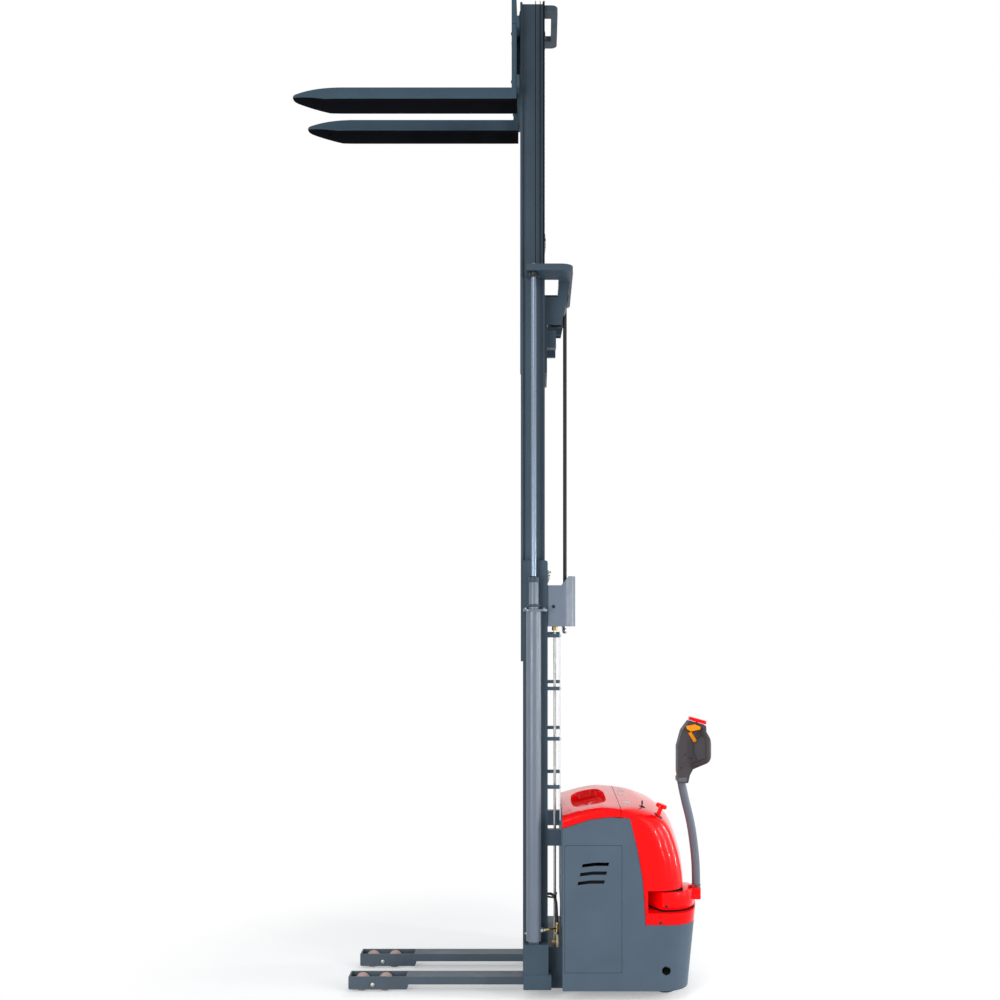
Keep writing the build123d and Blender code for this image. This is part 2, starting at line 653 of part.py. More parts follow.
# Chassis
def support_leg():
    """Leg tube with an open box of plates round the load rollers at its front."""
    y0 = LEG_Y - LEG_WIDTH / 2
    y1 = LEG_Y + LEG_WIDTH / 2
    tube = block(LEG_BOX_REAR, OUTER_REAR, y0, y1, LEG_TUBE_BOTTOM, LEG_TOP)
    box = block(LEG_BOX_FRONT, LEG_BOX_REAR, y0, y1, LEG_BOX_BOTTOM, LEG_TOP)
    box = fillet(box.edges().filter_by(Axis.Y).group_by(Axis.Z)[0], LEG_BOX_PLATE)
    box -= block(
        LEG_BOX_FRONT + LEG_BOX_PLATE,
        LEG_BOX_REAR - LEG_BOX_PLATE,
        y0 + LEG_BOX_PLATE,
        y1 - LEG_BOX_PLATE,
        LEG_BOX_BOTTOM,
        LEG_TOP,
    )
    pin = rod_y(BOGIE_X, ROLLER_R, BOGIE_PIN_R, y0 - 4, y1 + 4)
    return box + tube + pin


def mast_shoe():
    """Stepped foot outside the rail: it carries the cylinder and joins rail and leg."""
    y0 = OUTER_RAIL_BACK
    y1 = CYLINDER_Y + BARREL_R
    upper = block(OUTER_FRONT + 3, OUTER_REAR + 3, y0, y1, SHOE_STEP, SHOE_TOP)
    lower = block(OUTER_FRONT + 3, OUTER_REAR + 18, y0, y1 + 4, SHOE_BOTTOM, SHOE_STEP)
    lower = fillet(lower.edges().filter_by(Axis.Y), 6)
    seat = block(CYLINDER_X - 26, CYLINDER_X + 26, y0, y1 - 8, SHOE_TOP, BARREL_BOTTOM)
    return upper + lower + seat


BULKHEAD_X = NOTCH_FRONT - 42.0
SHELL_INSIDE = BODY_HALF_WIDTH - COVER_WALL


def chassis_frame():
    """Cross beam behind the mast, floor, side walls, bulkhead and the drive deck."""
    half = SHELL_INSIDE
    beam_rear = OUTER_REAR + BEAM_DEPTH
    beam = block(OUTER_REAR, beam_rear, -OUTER_RAIL_BACK, OUTER_RAIL_BACK, LEG_TUBE_BOTTOM, BEAM_TOP)
    rear = BULKHEAD_X + FLOOR_PLATE
    frame = beam + block(beam_rear, rear, -half, half, FLOOR_BOTTOM, FLOOR_BOTTOM + FLOOR_PLATE)
    frame += block(BULKHEAD_X, rear, -half, half, FLOOR_BOTTOM, DECK_TOP)
    corner = SKIRT_CORNER_END - SKIRT_CORNER_LENGTH
    side_line = [(BULKHEAD_X, half), (corner - 20, half), (corner + 55, half - 36), (corner + 100, half - 96)]
    side_line += [(corner + 116, SKIRT_CORNER_Y - 45), (SKIRT_REAR - 30, 0)]
    outline = side_line + [(x, -y) for x, y in reversed(side_line[:-1])]
    frame += prism_xy(outline, DECK_TOP - FLOOR_PLATE, DECK_TOP)
    frame -= rod_z(STEER_X, STEER_Y, DRIVE_NECK_R + RUNNING_CLEARANCE, DECK_TOP - FLOOR_PLATE, DECK_TOP)
    frame -= rod_z(CASTOR_X, CASTOR_Y, CASTOR_STEM_R + RUNNING_CLEARANCE, DECK_TOP - FLOOR_PLATE, DECK_TOP)
    wall = block(beam_rear, rear, half - 6, half, FLOOR_BOTTOM, DECK_TOP)
    wall += block(BODY_FRONT + COVER_WALL, beam_rear, OUTER_RAIL_BACK - 60, OUTER_RAIL_BACK, BEAM_TOP, TIE_TOP + 20)
    wall += block(NOTCH_FRONT + 6, NOTCH_FRONT + 30, half - 40, half - 16, DECK_TOP, RING_TOP - RING_PLATE)
    stay = block(SKIRT_REAR - 72, SKIRT_REAR - 52, -30, 30, DECK_TOP, RING_TOP - RING_PLATE)
    return frame + wall + mirrored(wall) + stay


def mast_tie():
    """Angle bracket between an outer rail and the body front."""
    return block(OUTER_REAR, BODY_FRONT, OUTER_RAIL_FACE, OUTER_RAIL_BACK, TIE_BOTTOM, TIE_TOP)


def mast_guard():
    """Clear sheet between the operator and the moving mast."""
    half = SHIELD_HALF_WIDTH
    sheet = block(SHIELD_X, SHIELD_X + SHIELD_THICK, -half, half, SHIELD_BOTTOM, SHIELD_TOP)
    return fillet(sheet.edges().filter_by(Axis.X), 20)


def guard_bracket(z):
    """Stand-off strut from a rail's rear flange to the clear sheet."""
    y1 = SHIELD_HALF_WIDTH
    return block(OUTER_REAR, SHIELD_X, y1 - BRACKET_SIZE, y1, z - BRACKET_SIZE / 2, z + BRACKET_SIZE / 2)


def feed_pipe():
    """Steel pressure pipe from the cross beam up to the yoke, with two union nuts."""
    nut = 22.0
    pipe = rod_z(PIPE_X, PIPE_Y, PIPE_R, BEAM_TOP, GUARD_BOTTOM)
    for z in (BEAM_TOP, GUARD_BOTTOM - nut):
        pipe += Pos(at(PIPE_X), PIPE_Y, z) * extrude(RegularPolygon(2 * PIPE_R, 6), nut)
    return pipe


def battery():
    """Battery tray filled with cells, standing on the chassis floor."""
    floor = FLOOR_BOTTOM + FLOOR_PLATE
    front = OUTER_REAR + BEAM_DEPTH + 6
    case = block(front, front + 245, -330, 330, floor, floor + 560)
    pitch = 660 / 6
    for i in range(6):
        y = -330 + pitch * (i + 0.5)
        case += block(front + 20, front + 225, y - 48, y + 48, floor + 560, floor + 580)
    return case


def power_pack():
    """Oil tank with the pump motor lying on top of it."""
    floor = FLOOR_BOTTOM + FLOOR_PLATE
    tank = block(BULKHEAD_X - 84, BULKHEAD_X - 4, -300, 300, floor, floor + 520)
    motor_r = 68.0
    motor = rod_y(BULKHEAD_X - 40, floor + 520 + motor_r - 6, motor_r, -150, 150)
    return tank + motor


# Body covers
NOSE_HEIGHTS = (RING_BOTTOM, 470.0, 540.0, 600.0, 660.0, 720.0, 780.0, 840.0, 880.0, 910.0, 940.0, 960.0, 980.0, 1000.0)


def nose_rear(z):
    """Rear of the hood at one height: upright at the bottom, rolling over to the top."""
    rise = max(0.0, (z - NOSE_UPRIGHT) / (NOSE_SUMMIT - NOSE_UPRIGHT))
    return NOSE_REAR - NOSE_LEAN * rise**2 - NOSE_ROLL * rise**14


CROWN_LINE = (
    (BODY_FRONT - 20.0, HOOD_FRONT_TOP - 6.0),
    (BODY_FRONT, HOOD_FRONT_TOP),
    (360.0, 970.0),
    (470.0, HOOD_CROWN),
    (600.0, HOOD_CROWN + 1.0),
    (FAR, HOOD_CROWN - 4.0),
)


def plan_outline(z, rear, inset):
    """Plan of the body at one height: straight sides, round rear corners, bowed rear."""
    half = BODY_HALF_WIDTH - inset
    front = at(BODY_FRONT + inset)
    corner = at(rear - SKIRT_CORNER_LENGTH)
    end = at(rear - inset)
    crown = at(rear + NOSE_CROWN - inset)
    y = SKIRT_CORNER_Y - inset / 2
    with BuildSketch(Plane.XY.offset(z)) as outline:
        with BuildLine():
            Line((front, half), (front, -half))
            Line((front, -half), (corner, -half))
            TangentArc((corner, -half), (end, -y), tangent=(1, 0))
            ThreePointArc((end, -y), (crown, 0), (end, y))
            TangentArc((corner, half), (end, y), tangent=(1, 0))
            Line((corner, half), (front, half))
        make_face()
    return outline.sketch


def tunnel_outline(x, top, inset):
    """Cross-section of the hood: upright sides, round shoulders, slightly bowed top."""
    half = BODY_HALF_WIDTH - inset
    high = top - inset
    r = HOOD_SHOULDER - inset
    plane = Plane(origin=(at(x), 0, 0), x_dir=(0, 1, 0), z_dir=(1, 0, 0))
    with BuildSketch(plane) as outline:
        with BuildLine():
            Line((-half, 300), (half, 300))
            Line((half, 300), (half, high - r))
            TangentArc((half, high - r), (half - r, high), tangent=(0, 1))
            ThreePointArc((half - r, high), (0, high + HOOD_CAMBER), (r - half, high))
            TangentArc((-half, high - r), (r - half, high), tangent=(0, 1))
            Line((-half, high - r), (-half, 300))
        make_face()
    return outline.sketch


def hood_form(inset):
    """Solid form of the hood: its plan loft cut by the crowned tunnel."""
    plan = loft([plan_outline(z, nose_rear(z), inset) for z in NOSE_HEIGHTS])
    return plan & loft([tunnel_outline(x, top, inset) for x, top in CROWN_LINE])


def skirt_form(inset):
    """Solid form of the skirt, which leans inwards towards the floor."""
    low = plan_outline(BODY_BOTTOM, SKIRT_CORNER_END - SKIRT_DRAFT, inset)
    return loft([low, plan_outline(RING_TOP, SKIRT_CORNER_END, inset)])


SEAM = (
    (BODY_FRONT, 880.0),
    (401.0, 927.0),
    (502.0, 939.0),
    (603.0, 933.0),
    (642.0, 773.0),
    (668.0, 621.0),
    (676.0, 520.0),
    (682.0, 418.0),
    (682.0, RING_BOTTOM),
)
WIDE = BODY_HALF_WIDTH + 60.0
SPLIT = COVER_GAP / 2
PANEL_LINE = BODY_FRONT + COVER_WALL


def vent(start, z):
    """Long slanted louvre opening with a slight arch."""
    mid = start + VENT_LENGTH / 2
    end = start + VENT_LENGTH
    low = [(start, z), (mid, z + VENT_RISE), (end, z + VENT_RISE)]
    high = [(end + 4, z + VENT_RISE + VENT_HEIGHT), (mid, z + VENT_RISE + VENT_HEIGHT), (start + 4, z + VENT_HEIGHT)]
    return prism_xz(low + high, -WIDE, WIDE)


def covers():
    """Splits the hood and skirt shells into the covers that come off one by one."""
    hood_outer = hood_form(0)
    hood_inner = hood_form(COVER_WALL)
    hood = hood_outer - hood_inner
    skirt_outer = skirt_form(0)
    skirt = skirt_outer - skirt_form(COVER_WALL)
    low_side = [(x, z - SPLIT) for x, z in SEAM[:4]] + [(x - SPLIT, z) for x, z in SEAM[4:]]
    high_side = [(x, z + SPLIT) for x, z in SEAM[:4]] + [(x + SPLIT, z) for x, z in SEAM[4:]]
    front_panel = hood & block(BODY_FRONT - 5, PANEL_LINE, -WIDE, WIDE, RING_BOTTOM, FAR)
    behind = block(PANEL_LINE + SPLIT, FAR, -WIDE, WIDE, 0, FAR)
    grey_hood = prism_xz(low_side + [(BODY_FRONT - 5, RING_BOTTOM), (BODY_FRONT - 5, SEAM[0][1])], -WIDE, WIDE)
    grey_skirt = block(BODY_FRONT - 5, FAR, -WIDE, WIDE, BODY_BOTTOM, RING_BOTTOM)
    grey = ((hood & grey_hood) + (skirt & grey_skirt)) & behind
    opening = block(PANEL_FRONT, PANEL_REAR, -WIDE, WIDE, PANEL_BOTTOM, PANEL_TOP)
    opening = fillet(opening.edges().filter_by(Axis.Y), 12)
    door = block(
        PANEL_FRONT + SPLIT, PANEL_REAR - SPLIT, -WIDE, WIDE, PANEL_BOTTOM + SPLIT, PANEL_TOP - SPLIT
    )
    door = fillet(door.edges().filter_by(Axis.Y), 12 - SPLIT)
    panels = grey & door
    for start, z in VENTS:
        panels -= vent(start, z)
    grey -= opening
    grey -= rod_y(SOCKET_X, SOCKET_Z, SOCKET_R, -WIDE, WIDE)
    near = grey & block(0, FAR, -WIDE, -SPLIT, 0, FAR)
    far = grey & block(0, FAR, SPLIT, WIDE, 0, FAR)
    lid_rear = LID_SEAM - SPLIT
    lid_zone = prism_xz(high_side[:3] + [(lid_rear, SEAM[2][1]), (lid_rear, FAR), (BODY_FRONT, FAR)], -WIDE, WIDE)
    lid = hood & lid_zone & behind
    nose_zone = prism_xz(
        [(LID_SEAM + SPLIT, SEAM[3][1] + 4)]
        + high_side[3:8]
        + [(SEAM[-1][0] + SPLIT, RING_TOP), (FAR, RING_TOP), (FAR, FAR), (LID_SEAM + SPLIT, FAR)],
        -WIDE,
        WIDE,
    )
    notch = block(NOTCH_FRONT, FAR, -WIDE, NOTCH_SIDE, RING_TOP, NOTCH_TOP)
    pocket = block(
        NOTCH_FRONT - COVER_WALL, FAR, -WIDE, NOTCH_SIDE + COVER_WALL, RING_TOP, NOTCH_TOP + COVER_WALL
    )
    ledge = (hood_inner - hood_form(2 * COVER_WALL)) & block(
        LID_SEAM - LEDGE_REACH, LID_SEAM + LEDGE_REACH, -LEDGE_HALF_WIDTH, LEDGE_HALF_WIDTH, HOOD_FRONT_TOP, FAR
    )
    nose = ((hood & nose_zone) + (pocket & hood_outer) + ledge) - notch
    knob_hole = knob_place() * Cylinder(KNOB_STEM_R + RUNNING_CLEARANCE, 200)
    key_hole = rod_z(KEY_X, KEY_Y, KEY_STEM_R + RUNNING_CLEARANCE, KEY_Z - 60, KEY_Z + 60)
    nose = nose - knob_hole - key_hole
    ring_front = SEAM[-1][0] + SPLIT
    ring = skirt & block(ring_front, FAR, -WIDE, WIDE, RING_BOTTOM + SPLIT, RING_TOP)
    ring += skirt_outer & block(ring_front, FAR, -WIDE, WIDE, RING_TOP - RING_PLATE, RING_TOP)
    ring -= rod_z(STEER_X, STEER_Y, DRIVE_NECK_R + 3, RING_BOTTOM, RING_TOP)
    return front_panel, near, far, panels, lid, nose, ring


# Drive and steering
def steering_hub():
    """Drum that turns on the deck, with a rear arm that carries the tiller pin."""
    drum = rod_z(STEER_X, STEER_Y, HUB_R, HUB_BOTTOM, HUB_TOP)
    drum = fillet(drum.edges().group_by(Axis.Z)[-1], 5)
    half = HUB_ARM_WIDTH / 2
    arm = prism_xz(
        [
            (STEER_X, HUB_BOTTOM + 2),
            (STEER_X + HUB_R - 8, HUB_BOTTOM + 2),
            (STEER_X + HUB_R + 12, HUB_ARM_BOTTOM),
            (HUB_ARM_END, HUB_ARM_BOTTOM),
            (HUB_ARM_END, HUB_TOP - 8),
            (STEER_X, HUB_TOP - 8),
        ],
        STEER_Y - half,
        STEER_Y + half,
    )
    arm = fillet(arm.edges().filter_by(Axis.Z).group_by(Axis.X)[-1], 12)
    slot = TILLER_EYE_HALF + 1
    arm -= block(ARM_X - ARM_R - 6, FAR, STEER_Y - slot, STEER_Y + slot, HUB_BOTTOM, FAR)
    hub = drum + arm + rod_y(ARM_X, TILLER_PIVOT_Z, TILLER_PIN_R, STEER_Y - half, STEER_Y + half)
    return hub + rod_z(STEER_X, STEER_Y, DRIVE_NECK_R, DECK_TOP, HUB_BOTTOM)


def drive_unit():
    """Gearbox leg and upright traction motor under the turntable."""
    half = DRIVE_WHEEL_WIDTH / 2
    under = DECK_TOP - FLOOR_PLATE
    motor = rod_z(STEER_X, STEER_Y, DRIVE_NECK_R, under - 10, DECK_TOP)
    motor += rod_z(STEER_X, STEER_Y, DRIVE_NECK_R + 15, 2 * DRIVE_WHEEL_R + 20, under - 1)
    inner = STEER_Y + half + 6
    leg = block(STEER_X - 60, STEER_X + 60, inner, inner + 55, DRIVE_WHEEL_R - 60, 2 * DRIVE_WHEEL_R + 40)
    leg = fillet(leg.edges().filter_by(Axis.Y), 30)
    return motor + leg + rod_y(STEER_X, DRIVE_WHEEL_R, DRIVE_AXLE_R, STEER_Y - half, inner + 10)


def wheel(x, y, z, radius, width, bore_r, tread):
    """Wheel with a dished hub on both faces and rounded tread edges."""
    disc = rod_y(x, z, radius, y - width / 2, y + width / 2)
    disc = fillet(disc.edges(), tread / 3)
    dish = rod_y(x, z, radius - tread, y + width / 2 - 6, y + width / 2)
    dish += rod_y(x, z, radius - tread, y - width / 2, y - width / 2 + 6)
    return disc - dish - rod_y(x, z, bore_r + RUNNING_CLEARANCE, y - width / 2, y + width / 2)


def castor_fork():
    """Swivel fork with its stem up through the deck."""
    x = CASTOR_X
    y = CASTOR_Y
    half = CASTOR_WIDTH / 2 + 3
    cheek = 6.0
    crown = 2 * CASTOR_R + 14
    fork_part = rod_z(x, y, CASTOR_STEM_R, crown, DECK_TOP + 4)
    fork_part += rod_z(x, y, CASTOR_STEM_R + 16, crown + 14, DECK_TOP - FLOOR_PLATE - 1)
    end = x + CASTOR_TRAIL + 22
    fork_part += block(x - 34, end, y - half - cheek, y + half + cheek, crown, crown + 14)
    side = [(x - 34, crown), (end, crown), (end - 4, CASTOR_R - 16), (end - 40, CASTOR_R - 16)]
    fork_part += prism_xz(side, y + half, y + half + cheek)
    fork_part += prism_xz(side, y - half - cheek, y - half)
    return fork_part + rod_y(x + CASTOR_TRAIL, CASTOR_R, ROLLER_AXLE_R, y - half, y + half)


# Load rollers
def bogie(side):
    """Rocker with two roller axles on the leg pin."""
    y = side * LEG_Y
    reach = LEG_WIDTH / 2 - LEG_BOX_PLATE - 2
    half = ROLLER_SPACING / 2
    long = half + 14
    plates = None
    for y0 in (y - reach, y + reach - BOGIE_PLATE):
        plate = block(
            BOGIE_X - long, BOGIE_X + long, y0, y0 + BOGIE_PLATE, ROLLER_R - 12, ROLLER_R + 12
        )
        plate = fillet(plate.edges().filter_by(Axis.Y), 11)
        plates = plate if plates is None else plates + plate
    for x in (BOGIE_X - half, BOGIE_X + half):
        plates += rod_y(x, ROLLER_R, ROLLER_AXLE_R, y - reach, y + reach)
    plates += rod_y(BOGIE_X, ROLLER_R, BOGIE_PIN_R + 6, y - reach, y + reach)
    return plates - rod_y(BOGIE_X, ROLLER_R, BOGIE_PIN_R + RUNNING_CLEARANCE, y - reach, y + reach)


# Tiller
ARM_LINE = (
    (963.0, TILLER_PIVOT_Z),
    (962.5, 578.0),
    (959.0, 683.0),
    (948.0, 787.0),
    (931.0, 892.0),
    (906.0, 996.0),
    (885.0, 1096.0),
)
HEAD_OUTLINE = (
    (869.0, 1091.0),
    (861.0, 1148.0),
    (861.0, 1279.0),
    (884.0, 1362.0),
    (921.0, 1412.0),
    (1010.0, 1388.0),
    (1012.0, 1352.0),
    (976.0, 1332.0),
    (942.0, 1307.0),
    (940.0, 1253.0),
    (962.0, 1200.0),
    (926.0, 1132.0),
    (917.0, 1091.0),
)
CAP_SLOPE = math.atan2(1412.0 - 1388.0, 1010.0 - 921.0)


def tiller_arm():
    """Bent tube from the pin eye up into the head."""
    with BuildLine() as path:
        Spline([(at(x), STEER_Y, z) for x, z in ARM_LINE], tangents=((0, 0, 1), (-0.2, 0, 1)))
    tube = sweep(Pos(at(ARM_X), STEER_Y, TILLER_PIVOT_Z) * Circle(ARM_R), path=path.line)
    y0 = STEER_Y - TILLER_EYE_HALF
    y1 = STEER_Y + TILLER_EYE_HALF
    arm = tube + rod_y(ARM_X, TILLER_PIVOT_Z, ARM_R - 1.5, y0, y1)
    arm -= block(0, FAR, y0, y1, HEAD_OUTLINE[0][1], FAR + HEAD_OUTLINE[0][1])
    return arm - rod_y(ARM_X, TILLER_PIVOT_Z, TILLER_PIN_R + RUNNING_CLEARANCE, y0, y1)


def cap_place():
    """Middle of the head's sloping top, with local Z square to it."""
    x = (921.0 + 1010.0) / 2
    z = (1412.0 + 1388.0) / 2
    return Pos(at(x), STEER_Y, z) * Rot(0, math.degrees(CAP_SLOPE), 0)


def rocker_place():
    """Rocker pivot on the head's near face: local X along the rocker, local Z outwards."""
    along = (26.0, 0, -42.0)
    origin = (at(ROCKER_X), STEER_Y - HEAD_HALF_WIDTH, ROCKER_Z)
    return Plane(origin=origin, x_dir=along, z_dir=(0, -1, 0))


def tiller_head():
    """Moulded control housing with a closed hand loop on each side."""
    y0 = STEER_Y - HEAD_HALF_WIDTH
    y1 = STEER_Y + HEAD_HALF_WIDTH
    head = prism_xz(HEAD_OUTLINE, y0, y1)
    head = fillet(head.edges().filter_by(Axis.Y), 6)
    reach = HEAD_REAR - LOOP_R
    root = HEAD_HALF_WIDTH - 12
    for side in (-1, 1):
        with BuildLine() as path:
            FilletPolyline(
                [
                    (at(940), STEER_Y + side * root, 1176),
                    (at(reach), STEER_Y + side * LOOP_HALF_WIDTH, 1222),
                    (at(reach), STEER_Y + side * LOOP_HALF_WIDTH, 1320),
                    (at(990), STEER_Y + side * root, 1366),
                ],
                radius=34,
            )
        start = Plane(path.line @ 0, z_dir=path.line % 0)
        head += sweep(start * Circle(LOOP_R), path=path.line)
    head -= rod_y(THROTTLE_X, THROTTLE_Z, THROTTLE_SHAFT_R + RUNNING_CLEARANCE, y0 - 1, y1 + 1)
    head -= cap_place() * Pos(0, 0, -15) * Cylinder(BUTTON_STEM_R + RUNNING_CLEARANCE, 30)
    pocket = rocker_place() * Pos(0, 0, -9) * Box(ROCKER_LENGTH + 4, ROCKER_WIDTH + 3, 18)
    head -= pocket
    return head + rocker_place() * Pos(0, 0, -8) * Rot(90, 0, 0) * Cylinder(2, ROCKER_WIDTH + 6)


def lift_rocker():
    """Rocker switch with a raised pad at each end, on its cross pin."""
    bar = Pos(0, 0, -ROCKER_DEPTH / 2) * Box(ROCKER_LENGTH, ROCKER_WIDTH, ROCKER_DEPTH)
    for x in (-ROCKER_LENGTH / 2 + 10, ROCKER_LENGTH / 2 - 10):
        bar += Pos(x, 0, 1) * Cylinder(ROCKER_WIDTH / 2 - 1, 4)
    bar -= Pos(0, 0, -8) * Rot(90, 0, 0) * Cylinder(2 + RUNNING_CLEARANCE, ROCKER_WIDTH + 6)
    return rocker_place() * bar


def thumb_throttle():
    """Two thumb wings on one shaft through the head."""
    half = HEAD_HALF_WIDTH + 1.5
    y0 = STEER_Y - half
    y1 = STEER_Y + half
    outline = [(-36, -4), (-14, -18), (36, -8), (36, 6), (8, 18), (-36, 10)]
    wing = [(THROTTLE_X + x, THROTTLE_Z + z) for x, z in outline]
    throttle = rod_y(THROTTLE_X, THROTTLE_Z, THROTTLE_SHAFT_R, y0 - THROTTLE_WING, y1 + THROTTLE_WING)
    for start in (y0 - THROTTLE_WING, y1):
        blade = prism_xz(wing, start, start + THROTTLE_WING)
        throttle += fillet(blade.edges().filter_by(Axis.Y), 5)
    return throttle


def belly_button():
    """Safety reverse button: a wide rounded cap over the head's top, on a guide stem."""
    cap = Box(94, 72, 18)
    cap = fillet(cap.edges().filter_by(Axis.Z), 18)
    cap = fillet(cap.edges().group_by(Axis.Z)[-1], 7)
    stem = Pos(0, 0, -6) * Cylinder(BUTTON_STEM_R, 30)
    return cap_place() * (Pos(0, 0, BUTTON_TRAVEL + 1 + 9) * cap + stem)


# Panel controls
def knob_place():
    return Pos(at(KNOB_X), KNOB_Y, KNOB_Z) * Rot(0, KNOB_TILT, 0)


def stop_knob():
    """Mushroom knob on a straight stem."""
    stem = Pos(0, 0, (KNOB_RISE - 40) / 2) * Cylinder(KNOB_STEM_R, KNOB_RISE + 40)
    head = Pos(0, 0, KNOB_RISE - 11) * Cylinder(KNOB_HEAD_R, 22)
    return knob_place() * (stem + fillet(head.edges(), 7))


def ignition_key():
    """Key blade in its lock, with a flat bow."""
    stem = rod_z(KEY_X, KEY_Y, KEY_STEM_R, KEY_Z - 30, KEY_Z + 14)
    bow = block(KEY_X - 13, KEY_X + 13, KEY_Y - 3, KEY_Y + 3, KEY_Z + 14, KEY_Z + 44)
    return stem + fillet(bow.edges().filter_by(Axis.Y), 9)


def build():
    keep("right_fork", fork(-1))
    keep("left_fork", fork(1))
    keep("carriage_frame", carriage_frame())
    keep("load_backrest", load_backrest())
    keep("outer_rails", *both(outer_rail()))
    keep("middle_frame", middle_frame())
    keep("inner_rails", *both(inner_rail()))
    carriage_span = (INNER_RAIL_FACE + 1, INNER_WEB - ROLLER_SIDE_PLAY)
    inner_span = (INNER_WEB + RAIL_WEB + ROLLER_SIDE_PLAY, INNER_RAIL_FACE + RAIL_WIDTH - 1)
    middle_in = (MIDDLE_RAIL_FACE + 1, MIDDLE_WEB - ROLLER_SIDE_PLAY)
    middle_out = (MIDDLE_WEB + RAIL_WEB + ROLLER_SIDE_PLAY, MIDDLE_RAIL_FACE + RAIL_WIDTH - 1)
    outer_span = (OUTER_RAIL_FACE + 1, OUTER_WEB - ROLLER_SIDE_PLAY)
    roller_pairs = (
        ("carriage_low_rollers", INNER_CHANNEL_X, INNER_ROLLER_R, carriage_span, CARRIAGE_ROLLER_LOW),
        ("carriage_top_rollers", INNER_CHANNEL_X, INNER_ROLLER_R, carriage_span, CARRIAGE_ROLLER_HIGH),
        ("middle_top_rollers", INNER_CHANNEL_X, INNER_ROLLER_R, inner_span, MIDDLE_HIGH_ROLLER),
        ("inner_low_rollers", MIDDLE_CHANNEL_X, MIDDLE_ROLLER_R, middle_in, INNER_LOW_ROLLER),
        ("outer_top_rollers", MIDDLE_CHANNEL_X, MIDDLE_ROLLER_R, middle_out, OUTER_HIGH_ROLLER),
        ("middle_low_rollers", OUTER_CHANNEL_X, OUTER_ROLLER_R, outer_span, MIDDLE_LOW_ROLLER),
    )
    for name, x, radius, span, z in roller_pairs:
        keep(name, *both(guide_roller(x, z, radius, span[0], span[1])))
    keep("mast_crosshead", mast_crosshead())
    keep("hose_guard", hose_guard())
    keep("inner_base", inner_base())
    keep("inner_top_tie", inner_top_tie())
    keep("lift_barrels", *both(lift_barrel()))
    keep("lift_rods", *both(lift_rod()))
    keep("free_lift_barrel", free_lift_barrel())
    keep("free_lift_rod", free_lift_rod())
    chain_groove = (SHEAVE_WIDTH, CHAIN_WIDTH, CHAIN_THICK / 2)
    hose_groove = (HOSE_SHEAVE_WIDTH, 2 * HOSE_R, HOSE_R)
    lift_chain_sheave = sheave(LIFT_SHEAVE_X, LIFT_SHEAVE_Z, LIFT_CHAIN_Y, LIFT_SHEAVE_PITCH_R, *chain_groove)
    hose_sheave = sheave(LIFT_SHEAVE_X, LIFT_SHEAVE_Z, -HOSE_Y, LIFT_SHEAVE_PITCH_R, *hose_groove)
    keep("lift_sheaves", *both(lift_chain_sheave), hose_sheave)
    free_sheave = sheave(FREE_SHEAVE_X, FREE_SHEAVE_Z, FREE_CHAIN_Y, FREE_SHEAVE_PITCH_R, *chain_groove)
    keep("chain_sheaves", *both(free_sheave))
    lug_z = INNER_BOTTOM + INNER_TIE_HEIGHT
    guard_floor = GUARD_BOTTOM + GUARD_WALL
    strip = Rectangle(CHAIN_THICK, CHAIN_WIDTH)
    lift_route = (LIFT_SHEAVE_X, LIFT_SHEAVE_Z, LIFT_SHEAVE_PITCH_R, guard_floor, lug_z)
    keep("lift_chains", *both(run_over(strip, LIFT_CHAIN_Y, *lift_route)))
    keep("lift_hose", run_over(Circle(HOSE_R), -HOSE_Y, *lift_route))
    anchor_z = FREE_BARREL_TOP - FREE_ANCHOR_DROP
    free_route = (FREE_SHEAVE_X, FREE_SHEAVE_Z, FREE_SHEAVE_PITCH_R, anchor_z, CHAIN_ANCHOR_Z)
    keep("carriage_chains", *both(run_over(strip, FREE_CHAIN_Y, *free_route)))
    keep("support_legs", *both(support_leg()))
    keep("mast_shoes", *both(mast_shoe()))
    keep("chassis_frame", chassis_frame())
    keep("mast_ties", *both(mast_tie()))
    keep("mast_guard", mast_guard())
    brackets = []
    for z in BRACKET_HEIGHTS:
        brackets.extend(both(guard_bracket(z)))
    keep("guard_brackets", *brackets)
    keep("feed_pipe", feed_pipe())
    keep("battery", battery())
    keep("power_pack", power_pack())
    cover_names = ("front_panel", "right_side_cover", "left_side_cover", "service_panels")
    cover_names += ("battery_lid", "nose_cover", "skirt_ring")
    for name, shape in zip(cover_names, covers()):
        keep(name, shape)
    keep("steering_hub", steering_hub())
    keep("drive_unit", drive_unit())
    drive = wheel(STEER_X, STEER_Y, DRIVE_WHEEL_R, DRIVE_WHEEL_R, DRIVE_WHEEL_WIDTH, DRIVE_AXLE_R, 22)
    keep("drive_wheel", drive)
    keep("castor_fork", castor_fork())
    keep(
        "castor_wheel",
        wheel(CASTOR_X + CASTOR_TRAIL, CASTOR_Y, CASTOR_R, CASTOR_R, CASTOR_WIDTH, ROLLER_AXLE_R, 14),
    )
    for name, side in (("right", -1), ("left", 1)):
        keep(f"{name}_bogie", bogie(side))
        for place, sign in (("front", -1), ("rear", 1)):
            x = BOGIE_X + sign * ROLLER_SPACING / 2
            roller = wheel(x, side * LEG_Y, ROLLER_R, ROLLER_R, ROLLER_LENGTH, ROLLER_AXLE_R, 10)
            keep(f"{name}_{place}_roller", roller)
    keep("tiller_arm", tiller_arm())
    keep("tiller_head", tiller_head())
    keep("lift_rocker", lift_rocker())
    keep("thumb_throttle", thumb_throttle())
    keep("belly_button", belly_button())
    keep("stop_knob", stop_knob())
    keep("ignition_key", ignition_key())


build()
os.makedirs("parts", exist_ok=True)
for name, solids in nodes.items():
    shape = solids[0] if len(solids) == 1 else Compound(solids)
    export_step(shape, f"parts/{name}.step")
